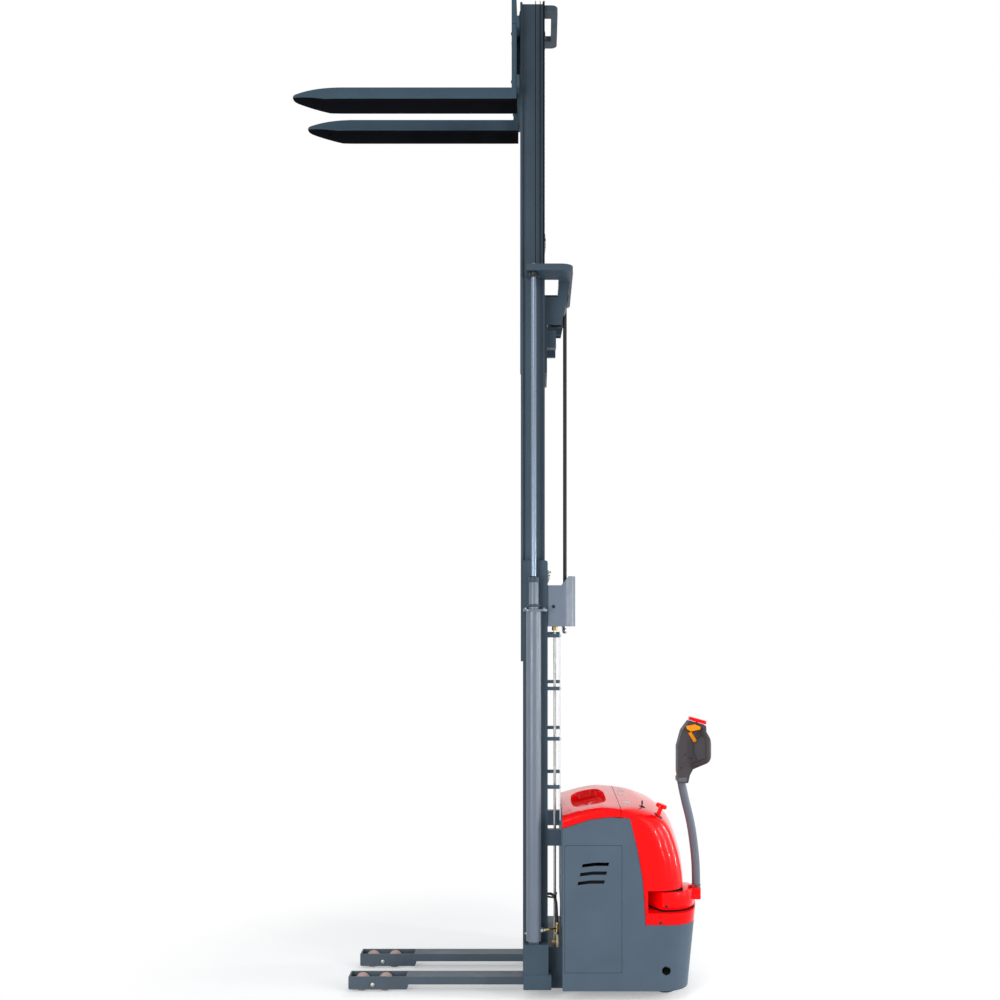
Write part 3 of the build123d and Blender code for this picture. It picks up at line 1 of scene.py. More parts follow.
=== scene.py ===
import bmesh
import bpy
import json
import math
from contextlib import contextmanager
from mathutils import Matrix, Vector


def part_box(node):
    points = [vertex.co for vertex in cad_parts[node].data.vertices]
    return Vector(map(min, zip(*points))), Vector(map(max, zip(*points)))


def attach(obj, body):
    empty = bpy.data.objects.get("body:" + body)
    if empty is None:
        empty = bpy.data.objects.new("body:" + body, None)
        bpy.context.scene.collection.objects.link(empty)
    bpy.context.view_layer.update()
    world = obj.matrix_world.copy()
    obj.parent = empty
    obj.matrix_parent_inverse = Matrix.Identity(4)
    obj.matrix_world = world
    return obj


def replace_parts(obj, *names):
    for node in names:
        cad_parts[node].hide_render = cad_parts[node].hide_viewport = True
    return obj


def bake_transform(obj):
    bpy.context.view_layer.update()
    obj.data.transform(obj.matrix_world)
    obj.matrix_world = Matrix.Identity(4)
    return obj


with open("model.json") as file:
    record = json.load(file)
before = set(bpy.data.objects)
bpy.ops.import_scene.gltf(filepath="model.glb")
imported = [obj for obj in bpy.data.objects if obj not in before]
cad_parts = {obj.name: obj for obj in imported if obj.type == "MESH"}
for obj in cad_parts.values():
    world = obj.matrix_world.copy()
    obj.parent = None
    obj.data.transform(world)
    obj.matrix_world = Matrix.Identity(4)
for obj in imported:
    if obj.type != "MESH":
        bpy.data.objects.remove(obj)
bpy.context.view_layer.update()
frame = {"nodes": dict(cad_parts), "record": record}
nodes = frame["nodes"]
joints = {j["name"]: j for j in frame["record"]["behaviour"]["joints"]}
scene = bpy.context.scene

# Lengths are written in millimetres: s behind the fork face, y across, z up
MM = 0.001
FORK_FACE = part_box("load_backrest")[0].x
SMOOTH_ANGLE = math.radians(32)
SIDES = ((-1, "near"), (1, "far"))
FRONT, REAR = (-1, 0, 0), (1, 0, 0)
UP, DOWN = (0, 0, 1), (0, 0, -1)


def place(s, y, z):
    """Point in metres from a place in millimetres."""
    return Vector((FORK_FACE + s * MM, y * MM, z * MM))


def on_side(side, s, y, z):
    """Point on one side of the truck, y away from the middle."""
    return place(s, side * y, z)


def outward(side):
    return (0, side, 0)


# Materials
NOISE_LOW, NOISE_HIGH = 0.3, 0.7
MIX_A, MIX_B, MIX_RESULT = 6, 7, 2


def linear(rgb):
    """Linear colour of an sRGB triple from 0 to 255."""
    shares = [c / 255 for c in rgb]
    return [c / 12.92 if c <= 0.04045 else ((c + 0.055) / 1.055) ** 2.4 for c in shares]


def shade(colour, factor):
    return [min(1.0, c * factor) for c in colour] + [1.0]


def tuned(node, values):
    """Shader node with its inputs set."""
    for key, value in values.items():
        node.inputs[key].default_value = value
    return node


class Surface:
    """Node material on one Principled shader, with methods that add its layers."""

    def __init__(self, name, rgb, metal=0.0, specular=0.5):
        self.name = name
        self.material = bpy.data.materials.new(name)
        self.material.use_nodes = True
        self.tree = self.material.node_tree
        self.shader = self.tree.nodes["Principled BSDF"]
        tuned(self.shader, {"Metallic": metal, "Specular IOR Level": specular})
        self.base = linear(rgb)
        self.position = self.tree.nodes.new("ShaderNodeTexCoord").outputs["Object"]

    def add(self, kind, **settings):
        node = self.tree.nodes.new("ShaderNode" + kind)
        for key, value in settings.items():
            setattr(node, key, value)
        return node

    def link(self, source, target):
        self.tree.links.new(source, target)

    def noise(self, scale, detail=4.0, stretch=None):
        node = tuned(self.add("TexNoise"), {"Scale": scale, "Detail": detail})
        where = self.position
        if stretch:
            mapping = tuned(self.add("Mapping"), {"Scale": stretch})
            self.link(where, mapping.inputs["Vector"])
            where = mapping.outputs["Vector"]
        self.link(where, node.inputs["Vector"])
        return node.outputs["Fac"]

    def spread(self, value, low, high, start=NOISE_LOW, end=NOISE_HIGH):
        """Maps a value from one range to another."""
        limits = {"From Min": start, "From Max": end, "To Min": low, "To Max": high}
        node = tuned(self.add("MapRange"), limits)
        self.link(value, node.inputs["Value"])
        return node.outputs["Result"]

    def colour(self, drift, scale, stretch=None):
        """Base colour that drifts lighter and darker in soft clouds."""
        ramp = self.add("ValToRGB")
        low, high = ramp.color_ramp.elements
        low.position, low.color = NOISE_LOW, shade(self.base, 1 - drift)
        high.position, high.color = NOISE_HIGH, shade(self.base, 1 + drift)
        self.link(self.noise(scale, detail=5.0, stretch=stretch), ramp.inputs["Fac"])
        self.tint = ramp.outputs["Color"]
        self.link(self.tint, self.shader.inputs["Base Color"])
        return self

    def rough(self, level, swing, scale, stretch=None):
        """Roughness that varies in patches about a level."""
        patches = self.spread(self.noise(scale, detail=4.0, stretch=stretch), level - swing, level + swing)
        self.link(patches, self.shader.inputs["Roughness"])
        return self

    def grain(self, strength, scale, depth, edge=0.0):
        """Fine bump, over edges that look rounded by the given radius."""
        bump = tuned(self.add("Bump"), {"Strength": strength, "Distance": depth * MM})
        self.link(self.noise(scale, detail=2.0), bump.inputs["Height"])
        if edge:
            round_edge = tuned(self.add("Bevel", samples=4), {"Radius": edge * MM})
            self.link(round_edge.outputs["Normal"], bump.inputs["Normal"])
        self.link(bump.outputs["Normal"], self.shader.inputs["Normal"])
        return self

    def wear(self, amount, width, rgb, scale=60.0):
        """Paint rubbed to another colour along sharp edges, broken up by noise."""
        edge = tuned(self.add("Bevel", samples=4), {"Radius": width * MM})
        dot = self.add("VectorMath", operation="DOT_PRODUCT")
        self.link(edge.outputs["Normal"], dot.inputs[0])
        self.link(self.add("NewGeometry").outputs["Normal"], dot.inputs[1])
        worn = self.spread(dot.outputs["Value"], amount, 0.0, start=0.80, end=0.98)
        broken = self.add("Math", operation="MULTIPLY")
        self.link(worn, broken.inputs[0])
        self.link(self.spread(self.noise(scale), 0.0, 1.0, start=0.42, end=0.6), broken.inputs[1])
        mix = tuned(self.add("Mix", data_type="RGBA"), {MIX_B: linear(rgb) + [1.0]})
        self.link(broken.outputs["Value"], mix.inputs["Factor"])
        self.link(self.tint, mix.inputs[MIX_A])
        self.link(mix.outputs[MIX_RESULT], self.shader.inputs["Base Color"])
        return self

    def coat(self, ior, roughness):
        """Clear lacquer over the base."""
        tuned(self.shader, {"Coat Weight": 1.0, "Coat IOR": ior, "Coat Roughness": roughness})
        return self

    def clear(self, weight, ior):
        """Lets light through."""
        tuned(self.shader, {"Transmission Weight": weight, "IOR": ior})
        return self


def paint(name, rgb, drift, level, rubbed, specular=0.2):
    """Satin powder coat with rounded edges and light edge wear."""
    coat = Surface(name, rgb, specular=specular).colour(drift, scale=5.0)
    coat.rough(level, swing=0.06, scale=14.0)
    coat.grain(strength=0.12, scale=700.0, depth=0.5, edge=1.6)
    return coat.wear(amount=0.5, width=1.6, rgb=rubbed)


def moulded(name, rgb, level, grain, edge=1.5, specular=0.2):
    """Moulded plastic with a fine texture."""
    plastic = Surface(name, rgb, specular=specular).colour(drift=0.05, scale=7.0)
    plastic.rough(level, swing=0.05, scale=18.0)
    return plastic.grain(grain, scale=1400.0, depth=0.4, edge=edge)


def gloss(name, rgb, level, ior):
    """Smooth plastic under a clear coat, with a faint orange-peel ripple."""
    plastic = Surface(name, rgb, specular=0.04).colour(drift=0.03, scale=4.0)
    plastic.rough(level, swing=0.04, scale=9.0)
    plastic.grain(strength=0.05, scale=160.0, depth=0.6, edge=1.5)
    return plastic.coat(ior, roughness=0.06)


def metal(name, rgb, level, drift=0.1, scale=40.0, edge=0.6):
    """Bare or plated metal with patchy roughness."""
    steel = Surface(name, rgb, metal=1.0).colour(drift, scale)
    steel.rough(level, swing=0.08, scale=scale * 1.7)
    return steel.grain(strength=0.06, scale=1200.0, depth=0.3, edge=edge)


def turned(name, rgb, level):
    """Ground round bar: colour and roughness drawn out along its length."""
    bar = Surface(name, rgb, metal=1.0).colour(drift=0.03, scale=20.0, stretch=(1.0, 1.0, 0.06))
    bar.rough(level, swing=0.03, scale=30.0, stretch=(1.0, 1.0, 0.05))
    return bar.grain(strength=0.02, scale=900.0, depth=0.2)


def rubber(name, rgb, level, scale):
    """Matt rubber with a dusty drift."""
    tyre = Surface(name, rgb, specular=0.3).colour(drift=0.14, scale=scale)
    tyre.rough(level, swing=0.08, scale=scale * 2)
    return tyre.grain(strength=0.3, scale=600.0, depth=0.5, edge=1.0)


def clear_sheet(name, rgb, level):
    """Clear acrylic with faint handling marks in its roughness."""
    sheet = Surface(name, rgb).colour(drift=0.02, scale=4.0)
    sheet.rough(level, swing=0.02, scale=6.0)
    return sheet.grain(strength=0.02, scale=40.0, depth=0.2).clear(weight=1.0, ior=1.12)


surfaces = (
    paint("mast_paint", (67, 83, 96), drift=0.08, level=0.42, rubbed=(98, 108, 118)),
    # Mast paint lightened on the legs as painted light
    paint("lit_leg_paint", (82, 94, 105), drift=0.08, level=0.45, rubbed=(118, 126, 134)),
    # Mast paint lightened as painted sheen for the round lift barrels and the bent hose guard
    paint("sheen_lit_paint", (108, 119, 135), drift=0.05, level=0.34, rubbed=(138, 146, 156), specular=0.5),
    paint("arm_paint", (104, 111, 122), drift=0.05, level=0.42, rubbed=(130, 136, 144)),
    paint("fork_paint", (70, 90, 105), drift=0.08, level=0.45, rubbed=(98, 108, 118), specular=0.12),
    moulded("body_grey", (84, 100, 115), level=0.46, grain=0.22),
    gloss("body_red", (254, 4, 9), level=0.34, ior=1.22),
    moulded("dark_plastic", (72, 68, 71), level=0.5, grain=0.35),
    gloss("bright_orange", (254, 152, 14), level=0.32, ior=1.2),
    metal("bare_steel", (120, 122, 125), level=0.4),
    metal("zinc_steel", (172, 173, 172), level=0.34, drift=0.16, scale=60.0),
    turned("rod_chrome", (118, 131, 148), level=0.3),
    metal("chain_steel", (66, 64, 63), level=0.45, drift=0.25, scale=80.0, edge=0.4),
    rubber("hose_rubber", (30, 30, 32), level=0.55, scale=40.0),
    rubber("wheel_rubber", (46, 44, 44), level=0.7, scale=25.0),
    rubber("roller_pu", (186, 156, 150), level=0.5, scale=25.0),
    paint("cast_housing", (46, 48, 50), drift=0.12, level=0.55, rubbed=(70, 72, 74)),
    clear_sheet("clear_sheet", (240, 246, 247), level=0.05),
    moulded("battery_case", (52, 54, 58), level=0.55, grain=0.30),
    moulded("black_plastic", (17, 17, 19), level=0.55, grain=0.25, edge=0.8, specular=0.25),
    moulded("pale_pad", (222, 196, 196), level=0.4, grain=0.15, edge=0.8),
    metal("black_bolt", (52, 55, 58), level=0.42, drift=0.15, scale=90.0, edge=0.4),
    metal("brass", (186, 160, 98), level=0.34, drift=0.12, scale=70.0, edge=0.4),
    rubber("beige_hose", (206, 198, 170), level=0.5, scale=30.0),
    moulded("collar_grey", (100, 100, 106), level=0.48, grain=0.3),
    # Near-black painted shade, laid on fork undersides, rail grooves and the gaps round the steering hub
    moulded("painted_shade", (30, 31, 35), level=0.75, grain=0.3, edge=1.0, specular=0.0),
)
materials = {surface.name: surface.material for surface in surfaces}

# Nodes not painted as their slot says, and the slots of materials that have none of their own
OWN_PAINT = {
    # Lift barrels and hose guard take a lightened copy of the mast paint as painted sheen
    "lift_barrels": "sheen_lit_paint",
    "hose_guard": "sheen_lit_paint",
    # Legs take a lightened copy of the mast paint as painted light
    "support_legs": "lit_leg_paint",
    "guard_brackets": "mast_paint",
    "steering_hub": "body_red",
    "tiller_arm": "arm_paint",
}


def coated(mesh, material):
    """Gives a mesh its material, and smooth faces between sharp edges."""
    mesh.materials.clear()
    mesh.materials.append(materials[material])
    for face in mesh.polygons:
        face.use_smooth = True
    mesh.set_sharp_from_angle(angle=SMOOTH_ANGLE)


for part in frame["record"]["subparts"]:
    coated(nodes[part["node"]].data, OWN_PAINT.get(part["node"], part["material_slot"]))


# Pieces
def dressed(name, mesh, material, body=None):
    """Puts a mesh in the scene with its material and body."""
    made = bpy.data.objects.new(name, mesh)
    scene.collection.objects.link(made)
    coated(mesh, material)
    if body:
        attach(made, body)
    return made


def mesh_of(name, bm):
    """Closes a mesh under construction, with its faces turned outward."""
    mesh = bpy.data.meshes.new(name)
    bmesh.ops.recalc_face_normals(bm, faces=bm.faces)
    bm.to_mesh(mesh)
    bm.free()
    return mesh


def piece(name, bm, material, body=None):
    return dressed(name, mesh_of(name, bm), material, body)


@contextmanager
def making(name, material, body):
    """Opens a mesh for one piece, and puts the piece in the scene once shaped."""
    bm = bmesh.new()
    yield bm
    piece(name, bm, material, body)


# Small builders
HEX = 6
WASHER_ROWS = ((1.5, 0), (1.5, 0.2), (1.42, 0.26))
WASHER_TOP = 0.26
HEAD_ROWS = ((1, 0), (1, 0.55), (0.86, 0.68))
NUT_ROWS = ((0.88, 0), (1, 0.12), (1, 0.88), (0.88, 1))
SCREW_ROWS = ((1, 0), (1, 0.15), (0.85, 0.42), (0.5, 0.55), (0.42, 0.5), (0.4, 0.2))
THREAD_PITCH = 2.5
THREAD_ROOT, THREAD_END = 0.86, 0.8
CREST_PLACE, ROOT_PLACE = 0.4, 0.9
WELD_R, WELD_STEP, WELD_BEAT = 2.6, 3.0, 0.14


def circle(count):
    """Angles of evenly spaced points round a circle."""
    return [2 * math.pi * i / count for i in range(count)]


def strip(bm, rings, closed=False):
    """Skins a list of equal rings, with end caps unless the list closes on itself."""
    pairs = list(zip(rings, rings[1:]))
    if closed:
        pairs.append((rings[-1], rings[0]))
    for a, b in pairs:
        for i in range(len(a)):
            j = (i + 1) % len(a)
            bm.faces.new((a[i], a[j], b[j], b[i]))
    if not closed:
        bm.faces.new(list(reversed(rings[0])))
        bm.faces.new(rings[-1])


def lathe(bm, at, axis, profile, count=28, closed=False):
    """Turned shape: rows of (radius, height) along an axis from a point."""
    turn = Vector((0, 0, 1)).rotation_difference(Vector(axis).normalized()).to_matrix()
    rings = []
    for radius, height in profile:
        row = [Vector((radius * math.cos(a), radius * math.sin(a), height)) for a in circle(count)]
        rings.append([bm.verts.new(at + turn @ (v * MM)) for v in row])
    strip(bm, rings, closed)


def ring(bm, at, axis, bore, radius, height, edge=1.5):
    """Collar with rounded outer edges."""
    inset = radius - edge
    rows = [(bore, 0), (inset, 0), (radius, edge), (radius, height - edge), (inset, height), (bore, height)]
    lathe(bm, at, axis, rows, count=36, closed=True)


def tube(bm, points, radius, count=14, beat=0.0):
    """Round tube through points, with a beat in its radius for weld beads."""
    rings = []
    side = None
    for i, point in enumerate(points):
        ahead = points[min(i + 1, len(points) - 1)] - points[max(i - 1, 0)]
        ahead.normalize()
        side = ahead.orthogonal() if side is None else side - ahead * side.dot(ahead)
        side.normalize()
        up = ahead.cross(side)
        r = radius * MM * (1 + beat * math.sin(i * math.pi / 2))
        row = [point + r * (math.cos(a) * side + math.sin(a) * up) for a in circle(count)]
        rings.append([bm.verts.new(v) for v in row])
    strip(bm, rings)


def bend(points, steps=8):
    """Smooth curve through a few points."""
    ends = [2 * points[0] - points[1]] + points + [2 * points[-1] - points[-2]]
    curve = []
    for a, b, c, d in zip(ends, ends[1:], ends[2:], ends[3:]):
        for k in range(steps):
            t = k / steps
            square = 2 * a - 5 * b + 4 * c - d
            cube = 3 * b - a - 3 * c + d
            curve.append(0.5 * (2 * b + (c - a) * t + square * t**2 + cube * t**3))
    return curve + [points[-1]]


def box(bm, low, high, bevel=0.0):
    """Box between two corners, with rounded edges."""
    a, b = place(*low), place(*high)
    size = b - a
    shape = Matrix.Translation((a + b) / 2) @ Matrix.Diagonal((size.x, size.y, size.z, 1.0))
    made = bmesh.ops.create_cube(bm, size=1.0, matrix=shape)
    if bevel:
        edges = list({e for v in made["verts"] for e in v.link_edges})
        bmesh.ops.bevel(bm, geom=edges, offset=bevel * MM, segments=3, affect="EDGES")


def oblong(middle, half, squareness, count, scale=1.0):
    """Points of a rounded oblong in plan, as (s, y)."""
    points = []
    for a in circle(count):
        c, d = math.cos(a), math.sin(a)
        reach = scale / (abs(c) ** squareness + abs(d) ** squareness) ** (1 / squareness)
        points.append((middle[0] + half[0] * reach * c, middle[1] + half[1] * reach * d))
    return points


def scaled(rows, r, height):
    return [(a * r, b * height) for a, b in rows]


def hex_bolt(bm, at, axis, r):
    """Hex head on a washer."""
    up = Vector(axis).normalized() * MM
    lathe(bm, at, axis, scaled(WASHER_ROWS, r, r))
    lathe(bm, at + up * WASHER_TOP * r, axis, scaled(HEAD_ROWS, r, r), count=HEX)


def nut(bm, at, axis, r, height):
    """Hex nut with chamfered faces."""
    lathe(bm, at, axis, scaled(NUT_ROWS, r, height), count=HEX)


def screw(bm, at, axis, r):
    """Button-head screw with a recess."""
    lathe(bm, at, axis, scaled(SCREW_ROWS, r, r), count=20)


def stud(bm, at, axis, r, length):
    """Threaded rod."""
    rows = [(THREAD_ROOT * r, 0.0)]
    for i in range(round(length / THREAD_PITCH)):
        rows.append((r, (i + CREST_PLACE) * THREAD_PITCH))
        rows.append((THREAD_ROOT * r, (i + ROOT_PLACE) * THREAD_PITCH))
    lathe(bm, at, axis, rows + [(THREAD_END * r, length)], count=18)


def weld(bm, start, end):
    """Rippled bead between two points."""
    steps = max(4, round((end - start).length / (WELD_STEP * MM)))
    tube(bm, [start.lerp(end, i / steps) for i in range(steps + 1)], WELD_R, count=8, beat=WELD_BEAT)


# Leaf chains and hose
CHAIN_WIDTH = 14
CHAIN_THICK = 10
CHAIN_PITCH = 25.4
CHAIN_ROWS = ((-0.36, 0.36), (-0.12, 0.12))
LEAF_OUTLINE = ((-1, 0.55), (-0.8, 0.9), (-0.5, 1), (0, 0.72), (0.5, 1), (0.8, 0.9), (1, 0.55))
LEAF_HALF = 0.1
LEAF_REACH = 0.62
PIN_PLACE, PIN_R = 0.75, 0.28 * CHAIN_THICK
WRAP_LINKS = 7
HOSE_R = 10
HOSE_STEPS, HOSE_ARC_STEPS = 40, 20
LIFT_CHAIN_Y = 100
HOSE_Y = -130
CARRIAGE_CHAIN_Y = 55
LIFT_PITCH_R = 52
CARRIAGE_PITCH_R = 56
CARRIAGE_ANCHOR_Z = 4775


def leaf(bm, shape, half, thick, width):
    """Waisted link plate, its length along local Z."""
    side = [(w * thick / 2, dz * half) for dz, w in LEAF_OUTLINE]
    outline = side + [(-x, z) for x, z in reversed(side)]
    rings = []
    for y in (-LEAF_HALF * width, LEAF_HALF * width):
        rings.append([bm.verts.new(shape @ Vector((x, y, z))) for x, z in outline])
    strip(bm, rings)


def chain_link(bm, shape, index, half):
    """One pair of plates and its pin."""
    width, thick = CHAIN_WIDTH * MM, CHAIN_THICK * MM
    for row in CHAIN_ROWS[index % 2]:
        leaf(bm, shape @ Matrix.Translation((0, row * width, 0)), half, thick, width)
    pin = shape @ Vector((0, -width / 2, -PIN_PLACE * half))
    lathe(bm, pin, outward(1), [(PIN_R, 0), (PIN_R, CHAIN_WIDTH)], count=10)


def straight_chain(bm, x, y, low, high):
    """Upright run of links."""
    count = max(2, round((high - low) / (CHAIN_PITCH * MM)))
    step = (high - low) / count
    for i in range(count):
        shape = Matrix.Translation((x, y, low + (i + 0.5) * step))
        chain_link(bm, shape, i, LEAF_REACH * step)


def wrapped_chain(bm, centre, y, radius):
    """Links over the top half of a sheave."""
    half = LEAF_REACH * math.pi * radius / WRAP_LINKS
    for i in range(WRAP_LINKS):
        a = math.pi * (i + 0.5) / WRAP_LINKS
        middle = Vector((centre.x + radius * math.cos(a), y, centre.z + radius * math.sin(a)))
        chain_link(bm, Matrix.Translation(middle) @ Matrix.Rotation(-a, 4, "Y"), i, half)


def straight_hose(bm, x, y, low, high):
    """Upright run of hose."""
    foot, top = Vector((x, y, low)), Vector((x, y, high))
    tube(bm, [foot.lerp(top, i / HOSE_STEPS) for i in range(HOSE_STEPS + 1)], HOSE_R)


def wrapped_hose(bm, centre, y, radius):
    """Hose over the top half of a sheave."""
    angles = [math.pi * i / HOSE_ARC_STEPS for i in range(HOSE_ARC_STEPS + 1)]
    arc = [Vector((centre.x + radius * math.cos(a), y, centre.z + radius * math.sin(a))) for a in angles]
    tube(bm, arc, HOSE_R)


def line_over(name, line, centre, y, radius, route):
    """Chain or hose that rises at the rear, turns over a sheave and falls at the front."""
    material, straight, wrapped = line
    carrier, rear_body, rear_z, front_body, front_z = route
    runs = (("rear", radius, rear_body, rear_z), ("front", -radius, front_body, front_z))
    for word, offset, body, end_z in runs:
        bm = bmesh.new()
        x = centre.x + offset
        straight(bm, x, y, end_z, centre.z)
        run = piece(f"{name}_{word}", bm, material)
        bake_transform(run)
    bm = bmesh.new()
    wrapped(bm, centre, y, radius)
    return piece(f"{name}_wrap", bm, material, carrier)


CHAIN = ("chain_steel", straight_chain, wrapped_chain)
HOSE = ("hose_rubber", straight_hose, wrapped_hose)
lift_axle = Vector(joints["lift_sheave_turn"]["pos_m"])
free_axle = Vector(joints["chain_sheave_turn"]["pos_m"])
lift_r, free_r = LIFT_PITCH_R * MM, CARRIAGE_PITCH_R * MM
yoke_floor_z = joints["mast_lift"]["deforming_nodes"][0]["fixed_end_z_m"]
barrel_anchor_z = joints["free_lift"]["deforming_nodes"][0]["fixed_end_z_m"]
lug_top_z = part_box("inner_base")[1].z
lift_route = ("middle_mast", "chassis", yoke_floor_z, "inner_mast", lug_top_z)
free_route = ("free_lift", "inner_mast", barrel_anchor_z, "carriage", CARRIAGE_ANCHOR_Z * MM)
lift_wraps, free_wraps = [], []
for side, word in SIDES:
    y = side * LIFT_CHAIN_Y * MM
    lift_wraps.append(line_over(f"lift_chain_{word}", CHAIN, lift_axle, y, lift_r, lift_route))
    y = side * CARRIAGE_CHAIN_Y * MM
    free_wraps.append(line_over(f"carriage_chain_{word}", CHAIN, free_axle, y, free_r, free_route))
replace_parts(lift_wraps[0], "lift_chains")
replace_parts(free_wraps[0], "carriage_chains")
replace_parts(line_over("mast_hose", HOSE, lift_axle, HOSE_Y * MM, lift_r, lift_route), "lift_hose")

# Outer rails and yoke, with studs as height and length
RAIL_STUD_S, RAIL_STUD_Y = 187, 278
RAIL_STUDS = ((2186, 18), (2155, 10))
RAIL_STUD_R, RAIL_NUT_R, RAIL_NUT_HEIGHT = 5.5, 9.5, 7
YOKE_PLUG_AT = (217, 301, 2008)
YOKE_PLUG_ROWS = ((9, 0), (9, 2), (7.5, 4), (3.5, 4), (3, 1.5))
BARREL_BOLTS_S, BARREL_BOLT_Y, BARREL_BOLT_Z = (75, 167), 320, 1995
BARREL_BOLT_R = 7.5


def rail_fittings(side, word):
    """Studs behind an outer rail, the plug in the yoke and the bolts of the barrel's clamp."""
    with making(f"rail_studs_{word}", "zinc_steel", "chassis") as bm:
        for z, length in RAIL_STUDS:
            at = on_side(side, RAIL_STUD_S, RAIL_STUD_Y, z)
            stud(bm, at, REAR, RAIL_STUD_R, length)
            nut(bm, at, REAR, RAIL_NUT_R, RAIL_NUT_HEIGHT)
    with making(f"yoke_plug_{word}", "black_bolt", "chassis") as bm:
        lathe(bm, on_side(side, *YOKE_PLUG_AT), outward(side), YOKE_PLUG_ROWS)
    with making(f"clamp_bolts_{word}", "zinc_steel", "chassis") as bm:
        for s in BARREL_BOLTS_S:
            hex_bolt(bm, on_side(side, s, BARREL_BOLT_Y, BARREL_BOLT_Z), UP, BARREL_BOLT_R)


# Lift cylinders, with rings as rows of foot height, bore, radius, height and edge
BARREL_S, BARREL_Y, BARREL_R = 115, 343, 38
GLAND_RINGS = ((2132, 24, 27.5, 26, 1.5), (2007, 24, 33, 12, 4))
WIPER_RINGS = ((2157, 14.3, 20, 6, 1.5),)
SEAT_RINGS = ((3694, 14.3, 23, 26, 3),)
CYLINDER_RINGS = (
    ("gland_nut", GLAND_RINGS, "mast_paint", "chassis"),
    ("rod_wiper", WIPER_RINGS, "black_plastic", "chassis"),
    ("rod_seat", SEAT_RINGS, "black_bolt", "middle_mast"),
)
ROD_NUT_Z, ROD_NUT_R = 3754, 11


def cylinder_fittings(side, word):
    """Gland nut, wiper, rod seat and top nut of one lift cylinder."""
    for name, rings, material, body in CYLINDER_RINGS:
        with making(f"{name}_{word}", material, body) as bm:
            for z, bore, radius, height, edge in rings:
                ring(bm, on_side(side, BARREL_S, BARREL_Y, z), UP, bore, radius, height, edge)
    with making(f"rod_nut_{word}", "zinc_steel", "middle_mast") as bm:
        hex_bolt(bm, on_side(side, BARREL_S, BARREL_Y, ROD_NUT_Z), UP, ROD_NUT_R)


# Clear guard
GUARD_SCREW_S, GUARD_SCREW_Y, GUARD_SCREW_R = 253, 284, 6.5
GUARD_SCREW_ZS = (1075, 1324, 1584, 1857)


def guard_fittings(side, word):
    """Screws that hold one edge of the clear sheet."""
    with making(f"guard_screws_{word}", "zinc_steel", "chassis") as bm:
        for z in GUARD_SCREW_ZS:
            screw(bm, on_side(side, GUARD_SCREW_S, GUARD_SCREW_Y, z), REAR, GUARD_SCREW_R)


for side, word in SIDES:
    rail_fittings(side, word)
    cylinder_fittings(side, word)
    guard_fittings(side, word)

# Chain and hose ends at the yoke, with nuts and rods as rows of drop, radius and length
ANCHOR_S, ANCHOR_Z = 279, 1905
ANCHOR_YS = (HOSE_Y, -LIFT_CHAIN_Y, LIFT_CHAIN_Y)
ANCHOR_NUTS = ((0, 15, 13), (17, 14, 12))
ANCHOR_ROD = (32, 9.6, 8)
FERRULE_BORE, FERRULE_R = 9.5, 12.5
FERRULE_NUT_R, FERRULE_NUT_HEIGHT = 14.5, 12
LOW_FERRULE_Z, LOW_FERRULE_LENGTH = 1913, 38
LUG_S, HIGH_FERRULE_Z, HIGH_FERRULE_LENGTH = 175, 3490, 34


def rod_end(bm, s, y, z, nuts, rod):
    """Nut, lock nut and end of a threaded rod under an anchor."""
    for drop, r, height in nuts:
        nut(bm, place(s, y, z - drop), DOWN, r, height)
    drop, r, length = rod
    stud(bm, place(s, y, z - drop), DOWN, r, length)


def hose_ferrule(name, s, z, length, body):
    """Crimped ferrule and nut at one end of the mast hose."""
    with making(name, "zinc_steel", body) as bm:
        ring(bm, place(s, HOSE_Y, z), UP, FERRULE_BORE, FERRULE_R, length)
        nut(bm, place(s, HOSE_Y, z), UP, FERRULE_NUT_R, FERRULE_NUT_HEIGHT)


with making("chain_anchor_nuts", "zinc_steel", "chassis") as bm:
    for y in ANCHOR_YS:
        rod_end(bm, ANCHOR_S, y, ANCHOR_Z, ANCHOR_NUTS, ANCHOR_ROD)
hose_ferrule("hose_ferrule_low", ANCHOR_S, LOW_FERRULE_Z, LOW_FERRULE_LENGTH, "chassis")
hose_ferrule("hose_ferrule_high", LUG_S, HIGH_FERRULE_Z, HIGH_FERRULE_LENGTH, "inner_mast")

# Dark strips of painted shade on the outer faces of the inner rails, where the rolled section has its
# grooves in shade
SHADE_STRIPS_S = ((122, 126), (146, 150), (163, 171.5))
SHADE_SUNK, SHADE_PROUD = 2, 0.25
SHADE_FOOT, SHADE_HEAD = 10, 6
rail_low, rail_high = (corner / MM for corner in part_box("inner_rails"))
for side, word in SIDES:
    faces = sorted((side * (rail_high.y - SHADE_SUNK), side * (rail_high.y + SHADE_PROUD)))
    with making(f"rail_groove_shade_{word}", "painted_shade", "inner_mast") as bm:
        for front, rear in SHADE_STRIPS_S:
            low = (front, faces[0], rail_low.z + SHADE_FOOT)
            box(bm, low, (rear, faces[1], rail_high.z - SHADE_HEAD))

# Clamp on the free-lift barrel that holds the rear ends of the carriage chains
CLAMP_Z, CLAMP_HEIGHT = 3970, 16
FREE_BARREL_S, FREE_BARREL_R, CLAMP_R = 112, 31, 42
CLAMP_ARM_S, CLAMP_ARM_HALF, CLAMP_ARM_EDGE = (147, 178), 66, 2.5
EYE_S, EYE_HALF_S, EYE_HALF_Y = 168, 7, 8.5
EYE_Z, EYE_EDGE = (CLAMP_Z + 14, CLAMP_Z + 40), 1.5
CLAMP_NUTS = ((0, 11, 9), (11, 10, 8))
CLAMP_ROD = (8, 7, 22)
CLAMP_YS = (-CARRIAGE_CHAIN_Y, CARRIAGE_CHAIN_Y)

